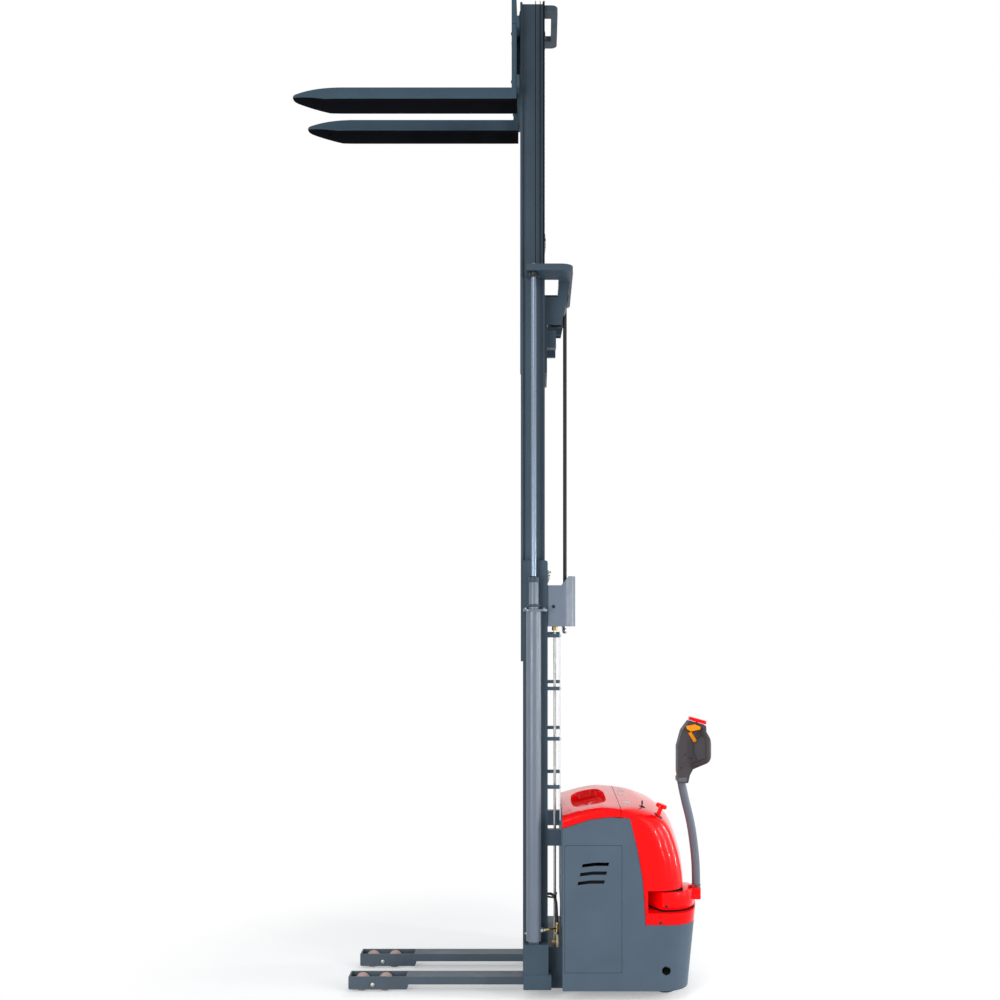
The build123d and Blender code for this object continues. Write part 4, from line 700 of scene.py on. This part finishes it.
with making("chain_clamp", "mast_paint", "inner_mast") as bm:
    ring(bm, place(FREE_BARREL_S, 0, CLAMP_Z), UP, FREE_BARREL_R, CLAMP_R, CLAMP_HEIGHT)
    low = (CLAMP_ARM_S[0], -CLAMP_ARM_HALF, CLAMP_Z)
    box(bm, low, (CLAMP_ARM_S[1], CLAMP_ARM_HALF, CLAMP_Z + CLAMP_HEIGHT), CLAMP_ARM_EDGE)
    for y in CLAMP_YS:
        low = (EYE_S - EYE_HALF_S, y - EYE_HALF_Y, EYE_Z[0])
        box(bm, low, (EYE_S + EYE_HALF_S, y + EYE_HALF_Y, EYE_Z[1]), EYE_EDGE)
with making("chain_clamp_nuts", "zinc_steel", "inner_mast") as bm:
    for y in CLAMP_YS:
        rod_end(bm, EYE_S, y, CLAMP_Z, CLAMP_NUTS, CLAMP_ROD)

# Oil lines of the lift cylinders, with nuts as place, radius and height
TEE_S, TEE_Y = 234, 310
PORT_Z = 352
TEE_FOOT, TEE_HEAD = PORT_Z - 22, PORT_Z + 23
RETURN_HOSE_R, SUPPLY_HOSE_R, PORT_PIPE_R = 7, 8, 6
RETURN_HOSE = (
    (182, 285, 522), (205, 287, 522), (222, 292, 508), (230, 298, 480),
    (233, 304, 440), (234, 308, 400), (TEE_S, TEE_Y, TEE_HEAD),
)
SUPPLY_HOSE = (
    (TEE_S, TEE_Y, TEE_FOOT), (238, 300, 300), (238, 290, 260),
    (236, 285, 200), (232, 280, 130), (230, 278, 95),
)
PORT_PIPE = ((165, 339, PORT_Z), (190, 334, PORT_Z), (212, 322, PORT_Z), (230, 312, PORT_Z))
TEE_ROWS = ((9, 0), (9, 6), (7.5, 8), (7.5, 38), (9, 40), (9, 46))
TEE_TOP_NUT, TEE_LOW_NUT = (PORT_Z + 20, 11, 11), (PORT_Z - 18, 11.5, 12)
PORT_NUT, PIPE_NUT = (148, 14, 16), (164, 11, 10)
PIPE_LEAN = 0.15
BLEED_Z, BLEED_FRONT, BLEED_IN = 328, -0.88, 0.47
BLEED_SEAT = BARREL_R - 1
BLEED_R, BLEED_LENGTH, BLEED_NUT_R, BLEED_NUT_HEIGHT = 5, 14, 8, 6
FEED_S, FEED_Y, SLEEVE_ZS = 224, -240, (252, 1884)
SLEEVE_R, SLEEVE_HEIGHT = 15.2, 20


def hose(bm, side, points, radius):
    """Round line on one side, bent through a few points."""
    tube(bm, bend([on_side(side, *point) for point in points]), radius)


def oil_lines(side, word):
    """Supply hose, brass tee and port fittings of one lift cylinder."""
    with making(f"supply_hose_{word}", "beige_hose", "chassis") as bm:
        hose(bm, side, SUPPLY_HOSE, SUPPLY_HOSE_R)
    with making(f"oil_tee_{word}", "brass", "chassis") as bm:
        hose(bm, side, PORT_PIPE, PORT_PIPE_R)
        lathe(bm, on_side(side, TEE_S, TEE_Y, TEE_FOOT), UP, TEE_ROWS, count=20)
        for axis, (z, r, height) in ((UP, TEE_TOP_NUT), (DOWN, TEE_LOW_NUT)):
            nut(bm, on_side(side, TEE_S, TEE_Y, z), axis, r, height)
    with making(f"cylinder_port_{word}", "zinc_steel", "chassis") as bm:
        for axis, (s, r, height) in ((REAR, PORT_NUT), ((1, -side * PIPE_LEAN, 0), PIPE_NUT)):
            nut(bm, on_side(side, s, BARREL_Y, PORT_Z), axis, r, height)
        middle = on_side(side, BARREL_S, BARREL_Y, BLEED_Z)
        bleed = Vector((BLEED_FRONT, -side * BLEED_IN, 0))
        stud(bm, middle + bleed * BLEED_SEAT * MM, bleed, BLEED_R, BLEED_LENGTH)
        nut(bm, middle + bleed * BARREL_R * MM, bleed, BLEED_NUT_R, BLEED_NUT_HEIGHT)


for side, word in SIDES:
    oil_lines(side, word)
with making("return_hose", "hose_rubber", "chassis") as bm:
    hose(bm, -1, RETURN_HOSE, RETURN_HOSE_R)
with making("feed_pipe_sleeves", "brass", "chassis") as bm:
    for z in SLEEVE_ZS:
        nut(bm, place(FEED_S, FEED_Y, z), UP, SLEEVE_R, SLEEVE_HEIGHT)

# Legs, with the outer and inner face of each, body sides and welds
LEG_PIN_S, LEG_PIN_Z = -725, 40
LEG_FACES = ((249, 1), (141, -1))
PIN_CAP_ROWS = ((11, 0), (10.6, 1.8), (8.5, 3.8), (4, 5))
RING_SCREW_AT, RING_SCREW_R = (759, 400, 403), 7
SHOE_WELD = ((62, 301.5, 287), (184, 301.5, 287))
YOKE_WELD = ((188, 301, 1915), (188, 301, 2115))
CROSSHEAD_WELD = ((80, 253.5, 3720), (170, 253.5, 3720))
PANEL_S, PANEL_Y, PANEL_Z = (272.5, 562.5), 399.4, (149.5, 795.5)
PANEL_SEAL_R = 1


def welds(name, side, lines, body):
    """Beads on one side, each from its start to its end."""
    with making(name, "mast_paint", body) as bm:
        for start, end in lines:
            weld(bm, on_side(side, *start), on_side(side, *end))


def side_fittings(side, word):
    """Caps of a bogie's pin, the screw of the skirt ring and the welds of the mast."""
    with making(f"bogie_pin_caps_{word}", "zinc_steel", "chassis") as bm:
        for y, face in LEG_FACES:
            lathe(bm, on_side(side, LEG_PIN_S, y, LEG_PIN_Z), outward(side * face), PIN_CAP_ROWS)
    with making(f"ring_screw_{word}", "black_bolt", "chassis") as bm:
        screw(bm, on_side(side, *RING_SCREW_AT), outward(side), RING_SCREW_R)
    welds(f"rail_welds_{word}", side, (SHOE_WELD, YOKE_WELD), "chassis")
    welds(f"crosshead_weld_{word}", side, (CROSSHEAD_WELD,), "middle_mast")


def panel_seal(side, word):
    """Thin seal round a service panel."""
    (front, rear), (foot, head) = PANEL_S, PANEL_Z
    uprights = [((s, foot), (s, head)) for s in PANEL_S]
    levels = [((front, z), (rear, z)) for z in PANEL_Z]
    with making(f"panel_seal_{word}", "black_plastic", "chassis") as bm:
        for ends in uprights + levels:
            tube(bm, [on_side(side, s, PANEL_Y, z) for s, z in ends], PANEL_SEAL_R, count=8)


for side, word in SIDES:
    side_fittings(side, word)
for side, word in SIDES:
    panel_seal(side, word)

# Wheels
ROLLERS = ("left_front_roller", "left_rear_roller", "right_front_roller", "right_rear_roller")
ROLLER_FACE = 30
ROLLER_CAP_ROWS = ((15, 0), (15, 1.5), (12.5, 2.5), (6, 2.5), (5.5, 1.2))
WHEEL_BOLTS, WHEEL_BOLT_CIRCLE, WHEEL_BOLT_R = 5, 45, 8
CASTOR_CAP_ROWS = ((13, -2), (13, 1.5), (10, 2.5))

for roller in ROLLERS:
    low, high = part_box(roller)
    with making(f"{roller}_caps", "zinc_steel", roller) as bm:
        for face in (-1, 1):
            at = (low + high) / 2 + Vector((0, face * ROLLER_FACE * MM, 0))
            lathe(bm, at, outward(face), ROLLER_CAP_ROWS)

low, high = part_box("drive_wheel")
hub = Vector(((low.x + high.x) / 2, low.y, (low.z + high.z) / 2))
with making("drive_wheel_bolts", "zinc_steel", "drive_wheel") as bm:
    for a in circle(WHEEL_BOLTS):
        at = hub + WHEEL_BOLT_CIRCLE * MM * Vector((math.cos(a), 0, math.sin(a)))
        hex_bolt(bm, at, outward(-1), WHEEL_BOLT_R)

low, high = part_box("castor_wheel")
with making("castor_caps", "zinc_steel", "castor_wheel") as bm:
    for face, y in ((-1, low.y), (1, high.y)):
        at = Vector(((low.x + high.x) / 2, y, (low.z + high.z) / 2))
        lathe(bm, at, outward(face), CASTOR_CAP_ROWS)

# Hood top, with the tray as rows of outline scale and height from its rim
ABOVE_HOOD = 1500
RECESS_MID, RECESS_HALF = (405, -40), (92, 240)
RECESS_SQUARENESS, RECESS_POINTS = 3.4, 72
TRAY_INSIDE = ((0.02, -46), (0.5, -46), (0.86, -45), (0.94, -40), (0.975, -10), (1, 0.2))
TRAY_OUTSIDE = ((1.012, -1), (1.012, -30), (0.96, -49), (0.02, -49))
HOLE_SCALE, HOLE_Z = 0.998, (880, 1100)
SEAM_S, SEAM_HALF, SEAM_STEP, SEAM_R = 557, 380, 10, 1.6
SEAM_LEDGE, SEAM_SINK = 4, 0.4
PAD_S, PAD_YS, PAD_HALF = 597.5, (-211, 40, 190), (22.5, 32)
PAD_SQUARENESS, PAD_POINTS = 7, 56
PAD_LIFT, PAD_SINK, PAD_SHRINK = 1.2, 0.6, (0.66, 0.33)


def on_surface(node, s, y):
    """Point and normal of a node's upper skin above a spot."""
    shell = nodes[node]
    back = shell.matrix_world.inverted()
    start = back @ place(s, y, ABOVE_HOOD)
    _, point, normal, _ = shell.ray_cast(start, (back.to_3x3() @ Vector(DOWN)).normalized())
    return shell.matrix_world @ point, (shell.matrix_world.to_3x3() @ normal).normalized()


def seat(node, s, y, reach):
    """Point and normal at a hole, from the skin on both sides of it."""
    ahead, up_ahead = on_surface(node, s - reach, y)
    behind, up_behind = on_surface(node, s + reach, y)
    return (ahead + behind) / 2, (up_ahead + up_behind).normalized()


def recess_outline(scale):
    """Rounded oblong of the tray in the lid."""
    return oblong(RECESS_MID, RECESS_HALF, RECESS_SQUARENESS, RECESS_POINTS, scale)


def lid_tray():
    """Moulded tray set into the lid, its rim at the lid's skin."""
    rim = [on_surface("battery_lid", s, y)[0].z for s, y in recess_outline(1.0)]
    rings = []
    with making("lid_tray", "body_red", "battery_lid") as bm:
        for scale, height in TRAY_INSIDE + TRAY_OUTSIDE:
            row = [place(s, y, height) + Vector((0, 0, z)) for (s, y), z in zip(recess_outline(scale), rim)]
            rings.append([bm.verts.new(v) for v in row])
        strip(bm, rings)


def lid_shell():
    """The lid's shell with a hole where the tray sits."""
    bm = bmesh.new()
    outline = recess_outline(HOLE_SCALE)
    strip(bm, [[bm.verts.new(place(s, y, z)) for s, y in outline] for z in HOLE_Z])
    punch = bpy.data.objects.new("punch", mesh_of("hole", bm))
    shell = nodes["battery_lid"].copy()
    shell.data = nodes["battery_lid"].data.copy()
    for thing in (punch, shell):
        scene.collection.objects.link(thing)
    cut = shell.modifiers.new("cut", "BOOLEAN")
    cut.operation = "DIFFERENCE"
    cut.solver = "EXACT"
    cut.object = punch
    bpy.context.view_layer.update()
    ready = shell.evaluated_get(bpy.context.evaluated_depsgraph_get())
    mesh = bpy.data.meshes.new_from_object(ready)
    mesh.transform(shell.matrix_world)
    for thing in (punch, shell):
        bpy.data.objects.remove(thing)
    lid = dressed("lid_shell", mesh, "body_red", "battery_lid")
    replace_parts(lid, "battery_lid")


def pad(bm, node, s, y):
    """Thin pad with round corners that follows a curved skin."""
    spots = [on_surface(node, *at) for at in oblong((s, y), PAD_HALF, PAD_SQUARENESS, PAD_POINTS)]
    rings = [[bm.verts.new(point - normal * PAD_SINK * MM) for point, normal in spots]]
    for scale in (1.0,) + PAD_SHRINK:
        outline = oblong((s, y), PAD_HALF, PAD_SQUARENESS, PAD_POINTS, scale)
        spots = [on_surface(node, *at) for at in outline]
        rings.append([bm.verts.new(point + normal * PAD_LIFT * MM) for point, normal in spots])
    strip(bm, rings)


lid_tray()
lid_shell()
with making("lid_seam", "black_plastic", "chassis") as bm:
    ledge = Vector((SEAM_LEDGE * MM, 0, SEAM_SINK * MM))
    across = range(-SEAM_HALF, SEAM_HALF + 1, SEAM_STEP)
    seam = [on_surface("nose_cover", SEAM_S + SEAM_LEDGE, y)[0] - ledge for y in across]
    tube(bm, seam, SEAM_R, count=8)
with making("hood_pads", "pale_pad", "chassis") as bm:
    for y in PAD_YS:
        pad(bm, "nose_cover", PAD_S, y)

# Key and stop knob: collars as place, reach of the hole, bore, radius and height,
# blocks of the key as half length, half width, foot, head and edge
STOP_S, STOP_Y = 756, -300
KEY_S, KEY_Y, KEY_REACH = 678, -250, 18
COLLARS = ((STOP_S, STOP_Y, 26, 12, 24, 6), (KEY_S, KEY_Y, KEY_REACH, 8, 16, 5))
COLLAR_SINK = 2
KEY_STEM, KEY_BOW = (3, 3, -4, 16, 0.8), (3.5, 12, 12, 34, 3)

with making("console_collars", "black_plastic", "chassis") as bm:
    for s, y, reach, bore, radius, height in COLLARS:
        point, normal = seat("nose_cover", s, y, reach)
        ring(bm, point - normal * COLLAR_SINK * MM, normal, bore, radius, height)

bm = bmesh.new()
skin_z = seat("nose_cover", KEY_S, KEY_Y, KEY_REACH)[0].z / MM
for half_s, half_y, foot, head, edge in (KEY_STEM, KEY_BOW):
    low = (KEY_S - half_s, KEY_Y - half_y, skin_z + foot)
    box(bm, low, (KEY_S + half_s, KEY_Y + half_y, skin_z + head), edge)
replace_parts(piece("key", bm, "black_plastic", "ignition_key"), "ignition_key")

# Steering hub
STEER_S, STEER_Y = 800, -220
STEER_SWING = 30
COWL_R, COWL_POINTS = 150, 120
COWL_WALL_FRONT, COWL_WALL_SIDE = 102, 122
COWL_ROWS = ((-7, 458), (-2, 459.5), (0, 464), (0, 543), (-3, 548.5), (-9, 551))
# Painted shadow: black bands under and over the cowl, and a black box lining the notch
LOW_SHADOW_ROWS = ((1.5, 452.4), (1.5, 457.9))
TOP_SHADOW_ROWS = ((-10, 550), (-10, 562))
TOP_SHADOW_REAR = 90
NOTCH_SHADOW_LOW, NOTCH_SHADOW_HIGH = (697, -97, 453), (880, -95.6, 563)
LIP_HIGH, LIP_EDGE = (709, -95.6, 563), 0.5
HUB_SCREW_AT, HUB_SCREW_AXIS, HUB_SCREW_R = (792, -369.4, 478), (-0.052, -0.998, 0), 7
HUB_BOLT_AT, HUB_BOLT_R = (931, -272, 557), 5
HUB_LUG_LOW, HUB_LUG_HIGH, HUB_LUG_EDGE = (914, -272, 549), (948, -262, 565), 2.5


def cowl_reach(angle):
    """Radius of the hub cowl, kept clear of the notch's walls at both ends of the steering."""
    reach = COWL_R
    for swing in (-STEER_SWING, 0.0, STEER_SWING):
        a = angle + math.radians(swing)
        if math.cos(a) < 0:
            reach = min(reach, COWL_WALL_FRONT / -math.cos(a))
        if math.sin(a) > 0:
            reach = min(reach, COWL_WALL_SIDE / math.sin(a))
    return reach


def hub_shape(name, rows, material, rear=COWL_R):
    """Body of the hub's outline, cut off towards the rear, from rows of (offset, height)."""
    rings = []
    with making(name, material, "steering") as bm:
        for offset, z in rows:
            row = []
            for a in circle(COWL_POINTS):
                r = cowl_reach(a) + offset
                s = min(r * math.cos(a), rear + offset)
                row.append(bm.verts.new(place(STEER_S + s, STEER_Y + r * math.sin(a), z)))
            rings.append(row)
        strip(bm, rings)


hub_shape("hub_cowl", COWL_ROWS, "body_red")
# Black bands below and above the cowl and a black box in the notch stand for painted shadow in the gaps
# round the hub
hub_shape("hub_shadow_low", LOW_SHADOW_ROWS, "painted_shade")
hub_shape("hub_shadow_top", TOP_SHADOW_ROWS, "painted_shade", TOP_SHADOW_REAR)
with making("notch_shadow", "painted_shade", "chassis") as bm:
    box(bm, NOTCH_SHADOW_LOW, NOTCH_SHADOW_HIGH)
    box(bm, NOTCH_SHADOW_LOW, LIP_HIGH, LIP_EDGE)

# Handle
GUARD_OUTLINE = (
    (932, 1352), (980, 1350), (1012, 1322), (1019, 1270),
    (1016, 1222), (966, 1184), (925, 1160), (918, 1250),
)
GUARD_SECTIONS = ((-30, 0.93), (-25, 1), (25, 1), (30, 0.93))
TILLER_FOOT_S, TILLER_FOOT_Z = 963, 548
TILLER_R, TILLER_COLLAR_R, TILLER_COLLAR_HEIGHT = 15, 23.5, 12
NECK_S, NECK_HALF, NECK_Z, NECK_EDGE = (859, 916), 44, (1092, 1127), 7
HANDLE_SCREWS = ((880, 1170), (900, 1240), (930, 1220))
HANDLE_FACE, HANDLE_SCREW_R = 42, 4.5


def hand_guard():
    """Finger guard of the handle, drawn in towards its middle at both faces."""
    mid_s = sum(s for s, z in GUARD_OUTLINE) / len(GUARD_OUTLINE)
    mid_z = sum(z for s, z in GUARD_OUTLINE) / len(GUARD_OUTLINE)
    rings = []
    with making("hand_guard", "dark_plastic", "tiller") as bm:
        for y, scale in GUARD_SECTIONS:
            flat = [(mid_s + (s - mid_s) * scale, mid_z + (z - mid_z) * scale) for s, z in GUARD_OUTLINE]
            rings.append([bm.verts.new(place(s, STEER_Y + y, z)) for s, z in flat])
        strip(bm, rings)


hand_guard()
with making("hub_screws", "black_bolt", "steering") as bm:
    screw(bm, place(*HUB_SCREW_AT), HUB_SCREW_AXIS, HUB_SCREW_R)
    hex_bolt(bm, place(*HUB_BOLT_AT), outward(-1), HUB_BOLT_R)
with making("hub_lug", "body_red", "steering") as bm:
    box(bm, HUB_LUG_LOW, HUB_LUG_HIGH, HUB_LUG_EDGE)
with making("tiller_collar", "collar_grey", "tiller") as bm:
    at = place(TILLER_FOOT_S, STEER_Y, TILLER_FOOT_Z)
    ring(bm, at, UP, TILLER_R, TILLER_COLLAR_R, TILLER_COLLAR_HEIGHT)
with making("handle_collar", "collar_grey", "tiller") as bm:
    low = (NECK_S[0], STEER_Y - NECK_HALF, NECK_Z[0])
    box(bm, low, (NECK_S[1], STEER_Y + NECK_HALF, NECK_Z[1]), NECK_EDGE)
with making("handle_screws", "black_bolt", "tiller") as bm:
    for side in (-1, 1):
        for s, z in HANDLE_SCREWS:
            screw(bm, place(s, STEER_Y + side * HANDLE_FACE, z), outward(side), HANDLE_SCREW_R)

# Forks: channels that narrow, drop and close into a rounded toe
SHANK_DEPTH, SHANK_HEIGHT, SHANK_EDGE = 25, 330, 3
FORK_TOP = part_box("left_fork")[1].z / MM - SHANK_HEIGHT
FORK_Y = 195
FORK_HALF = 90
FORK_DEPTH = 60
FORK_WALL = 8
FORK_EDGE = 5
HEEL_LAP, HEEL_GAP, HEEL_EDGE = 1, 2, 1
TOE_START, TOE_TIP = -880, -1149
TOE_TAPER, TOE_TAPER_POWER = 0.72, 2.6
TOE_DROP, TOE_DROP_POWER = 14, 1.6
TOE_RISE_START, TOE_RISE = -970, 32
TIP_START, TIP_WIDTH, TIP_DEPTH = 0.93, 0.35, 0.4
CHANNEL_END, CHANNEL_FLOOR = -1040, 0.6
CORNER = 0.3
BLADE_STEPS = 48
LOOKS_DOWN, LOOKS_ACROSS = -0.2, 0.5
FORK_SCREW_SHIFTS, FORK_SCREW_ZS, FORK_SCREW_R = (-50, 50), (4740, 4990), 8


def blade_section(s):
    """Outline of the inverted channel at one place along the blade, as (y, z) points."""
    along = min(1.0, max(0.0, (TOE_START - s) / (TOE_START - TOE_TIP)))
    tip = math.sqrt(max(0.0, 1 - max(0.0, (along - TIP_START) / (1 - TIP_START)) ** 2))
    half = FORK_HALF * (1 - TOE_TAPER * along**TOE_TAPER_POWER) * (TIP_WIDTH + (1 - TIP_WIDTH) * tip)
    rise = max(0.0, (TOE_RISE_START - s) / (TOE_RISE_START - TOE_TIP))
    top = -TOE_DROP * along**TOE_DROP_POWER
    low = -FORK_DEPTH + TOE_RISE * rise
    middle = (top + low) / 2
    depth = TIP_DEPTH + (1 - TIP_DEPTH) * tip
    top = middle + (top - middle) * depth
    low = middle + (low - middle) * depth
    edge = min(FORK_EDGE, (top - low) / 4)
    inner = max(half / 2, half - FORK_WALL)
    roof = top - FORK_WALL if s > CHANNEL_END else low + CHANNEL_FLOOR
    corner = (half - CORNER * edge, top - CORNER * edge)
    right = [(inner, low), (half, low), (half, top - edge), corner, (half - edge, top)]
    left = [(-y, z) for y, z in reversed(right)]
    return right + left + [(-inner, roof), (inner, roof)]


def fork_blade(bm, y):
    """Blade from heel to toe, its sections closer together at the toe."""
    rings = []
    for i in range(BLADE_STEPS + 1):
        s = TOE_TIP * (1 - (1 - i / BLADE_STEPS) ** 2)
        rings.append([bm.verts.new(place(s, y + across, FORK_TOP + z)) for across, z in blade_section(s)])
    strip(bm, rings)


def fork_shank(bm, y):
    """Upright shank, and the side walls of the heel below it."""
    right, left = y - FORK_HALF, y + FORK_HALF
    low = (0, right, FORK_TOP - FORK_WALL)
    box(bm, low, (SHANK_DEPTH, left, FORK_TOP + SHANK_HEIGHT), SHANK_EDGE)
    for start, end in ((right, right + FORK_WALL), (left - FORK_WALL, left)):
        low = (-HEEL_LAP, start, FORK_TOP - FORK_DEPTH)
        box(bm, low, (SHANK_DEPTH, end, FORK_TOP - HEEL_GAP), HEEL_EDGE)


def shade_underside(mesh, y):
    """Gives faces that look down or into the channel a dark painted shade."""
    mesh.materials.append(materials["painted_shade"])
    for face in mesh.polygons:
        inward = face.normal.y * (face.center.y - y) < 0 and abs(face.normal.y) > LOOKS_ACROSS
        if face.normal.z < LOOKS_DOWN or inward:
            face.material_index = 1


for side, word in ((-1, "right"), (1, "left")):
    bm = bmesh.new()
    fork_blade(bm, side * FORK_Y)
    fork_shank(bm, side * FORK_Y)
    blade = piece(f"{word}_fork_blade", bm, "fork_paint", "carriage")
    shade_underside(blade.data, side * FORK_Y * MM)
    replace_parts(blade, f"{word}_fork")
with making("fork_screws", "black_bolt", "carriage") as bm:
    for side in (-1, 1):
        for shift in FORK_SCREW_SHIFTS:
            for z in FORK_SCREW_ZS:
                screw(bm, place(0, side * FORK_Y + shift, z), FRONT, FORK_SCREW_R)

# Camera
CAMERA_AT = (147, -6155, 1990)

view = bpy.data.cameras.new("camera")
view.lens = 40.86
view.sensor_width = 36.0
view.shift_x = -0.04
view.shift_y = 0.11
view.clip_end = 200.0
camera = bpy.data.objects.new("camera", view)
camera.location = place(*CAMERA_AT)
camera.rotation_euler = (math.pi / 2, 0, 0)
scene.collection.objects.link(camera)
scene.camera = camera
scene.view_settings.view_transform = "Standard"

# Light and floor, with their places and sizes in metres
WHITE = (1, 1, 1, 1)
SKY_COLOUR, SKY_LEVEL = (0.93, 0.97, 1.0, 1.0), 0.40
STRIP_PLACES = ((4.0, -3.2, 1.4), (4.7, -1.2, 1.4), (4.3, 0.9, 1.4))
FLOOR_SIZE, FLOOR_THICK = 60.0, 0.02
FLOOR_FINISH = {
    "Base Color": (0.9, 0.9, 0.9, 1.0),
    "Roughness": 0.95,
    "Specular IOR Level": 0.0,
    "Emission Color": WHITE,
    "Emission Strength": 0.30,
}
FLOOR_RETURN = (0.3, 0.3, 0.31, 1.0)
NEAR_FLOOR, FAR_FLOOR = 1.1, 2.2


def seen_rays(tree):
    """1 for the rays that see the background: direct, mirrored or through glass."""
    rays = tree.nodes.new("ShaderNodeLightPath")
    seen = rays.outputs["Is Camera Ray"]
    for kind in ("Is Glossy Ray", "Is Transmission Ray"):
        either = tree.nodes.new("ShaderNodeMath")
        either.operation = "MAXIMUM"
        tree.links.new(seen, either.inputs[0])
        tree.links.new(rays.outputs[kind], either.inputs[1])
        seen = either.outputs[0]
    return seen


def mixed(tree, factor, first, second):
    """Blend of two shaders, from the first at 0 to the second at 1."""
    mix = tree.nodes.new("ShaderNodeMixShader")
    for socket, source in zip(mix.inputs, (factor, first.outputs[0], second.outputs[0])):
        tree.links.new(source, socket)
    return mix


def studio_world():
    """White to look at, and a softer cool grey as a light."""
    world = bpy.data.worlds.new("studio")
    world.use_nodes = True
    tree = world.node_tree
    soft = tuned(tree.nodes["Background"], {"Color": SKY_COLOUR, "Strength": SKY_LEVEL})
    white = tuned(tree.nodes.new("ShaderNodeBackground"), {"Color": WHITE, "Strength": 1.0})
    mix = mixed(tree, seen_rays(tree), soft, white)
    tree.links.new(mix.outputs[0], tree.nodes["World Output"].inputs["Surface"])
    scene.world = world


def softbox(name, at, target, size, power):
    """Rectangular lamp that faces its target."""
    lamp = bpy.data.lights.new(name, "AREA")
    lamp.shape = "RECTANGLE"
    lamp.size, lamp.size_y = size
    lamp.energy = power
    made = bpy.data.objects.new(name, lamp)
    made.location = at
    made.rotation_euler = (Vector(target) - Vector(at)).to_track_quat("-Z", "Y").to_euler()
    scene.collection.objects.link(made)


def floor_material():
    """Pale floor that takes the truck's shadow, fades to white further out and returns little light."""
    material = bpy.data.materials.new("studio_floor")
    material.use_nodes = True
    tree = material.node_tree
    shader = tuned(tree.nodes["Principled BSDF"], FLOOR_FINISH)
    white = tuned(tree.nodes.new("ShaderNodeEmission"), {"Color": WHITE, "Strength": 1.0})
    dim = tuned(tree.nodes.new("ShaderNodeBsdfDiffuse"), {"Color": FLOOR_RETURN})
    reach = tree.nodes.new("ShaderNodeVectorMath")
    reach.operation = "LENGTH"
    tree.links.new(tree.nodes.new("ShaderNodeTexCoord").outputs["Object"], reach.inputs[0])
    fade = tree.nodes.new("ShaderNodeMapRange")
    fade.interpolation_type = "SMOOTHSTEP"
    tuned(fade, {"From Min": NEAR_FLOOR, "From Max": FAR_FLOOR})
    tree.links.new(reach.outputs["Value"], fade.inputs["Value"])
    look = mixed(tree, fade.outputs["Result"], shader, white)
    mix = mixed(tree, seen_rays(tree), dim, look)
    tree.links.new(mix.outputs[0], tree.nodes["Material Output"].inputs["Surface"])
    return material


studio_world()
softbox("key_light", at=(-2.6, -4.8, 1.6), target=(0.3, 0, 0.5), size=(2.0, 2.4), power=145)
softbox("fill_light", at=(4.2, -3.4, 2.6), target=(0.3, 0, 1.2), size=(2.0, 3.0), power=40)
softbox("top_light", at=(-1.6, -4.6, 5.0), target=(0.1, 0, 4.7), size=(1.6, 1.6), power=40)
softbox("rim_light", at=(0.5, 4.5, 5.5), target=(0.2, 0, 2.0), size=(3.0, 2.0), power=60)
for number, at in enumerate(STRIP_PLACES):
    softbox(f"strip_light_{number}", at, target=(0.8, -0.2, 0.8), size=(0.04, 2.0), power=50)

bm = bmesh.new()
shape = Matrix.Diagonal((FLOOR_SIZE, FLOOR_SIZE, FLOOR_THICK, 1.0))
bmesh.ops.create_cube(bm, size=1.0, matrix=shape)
bmesh.ops.translate(bm, vec=(0, 0, -FLOOR_THICK / 2), verts=bm.verts)
floor = bpy.data.objects.new("floor", mesh_of("floor", bm))
floor.data.materials.append(floor_material())
scene.collection.objects.link(floor)
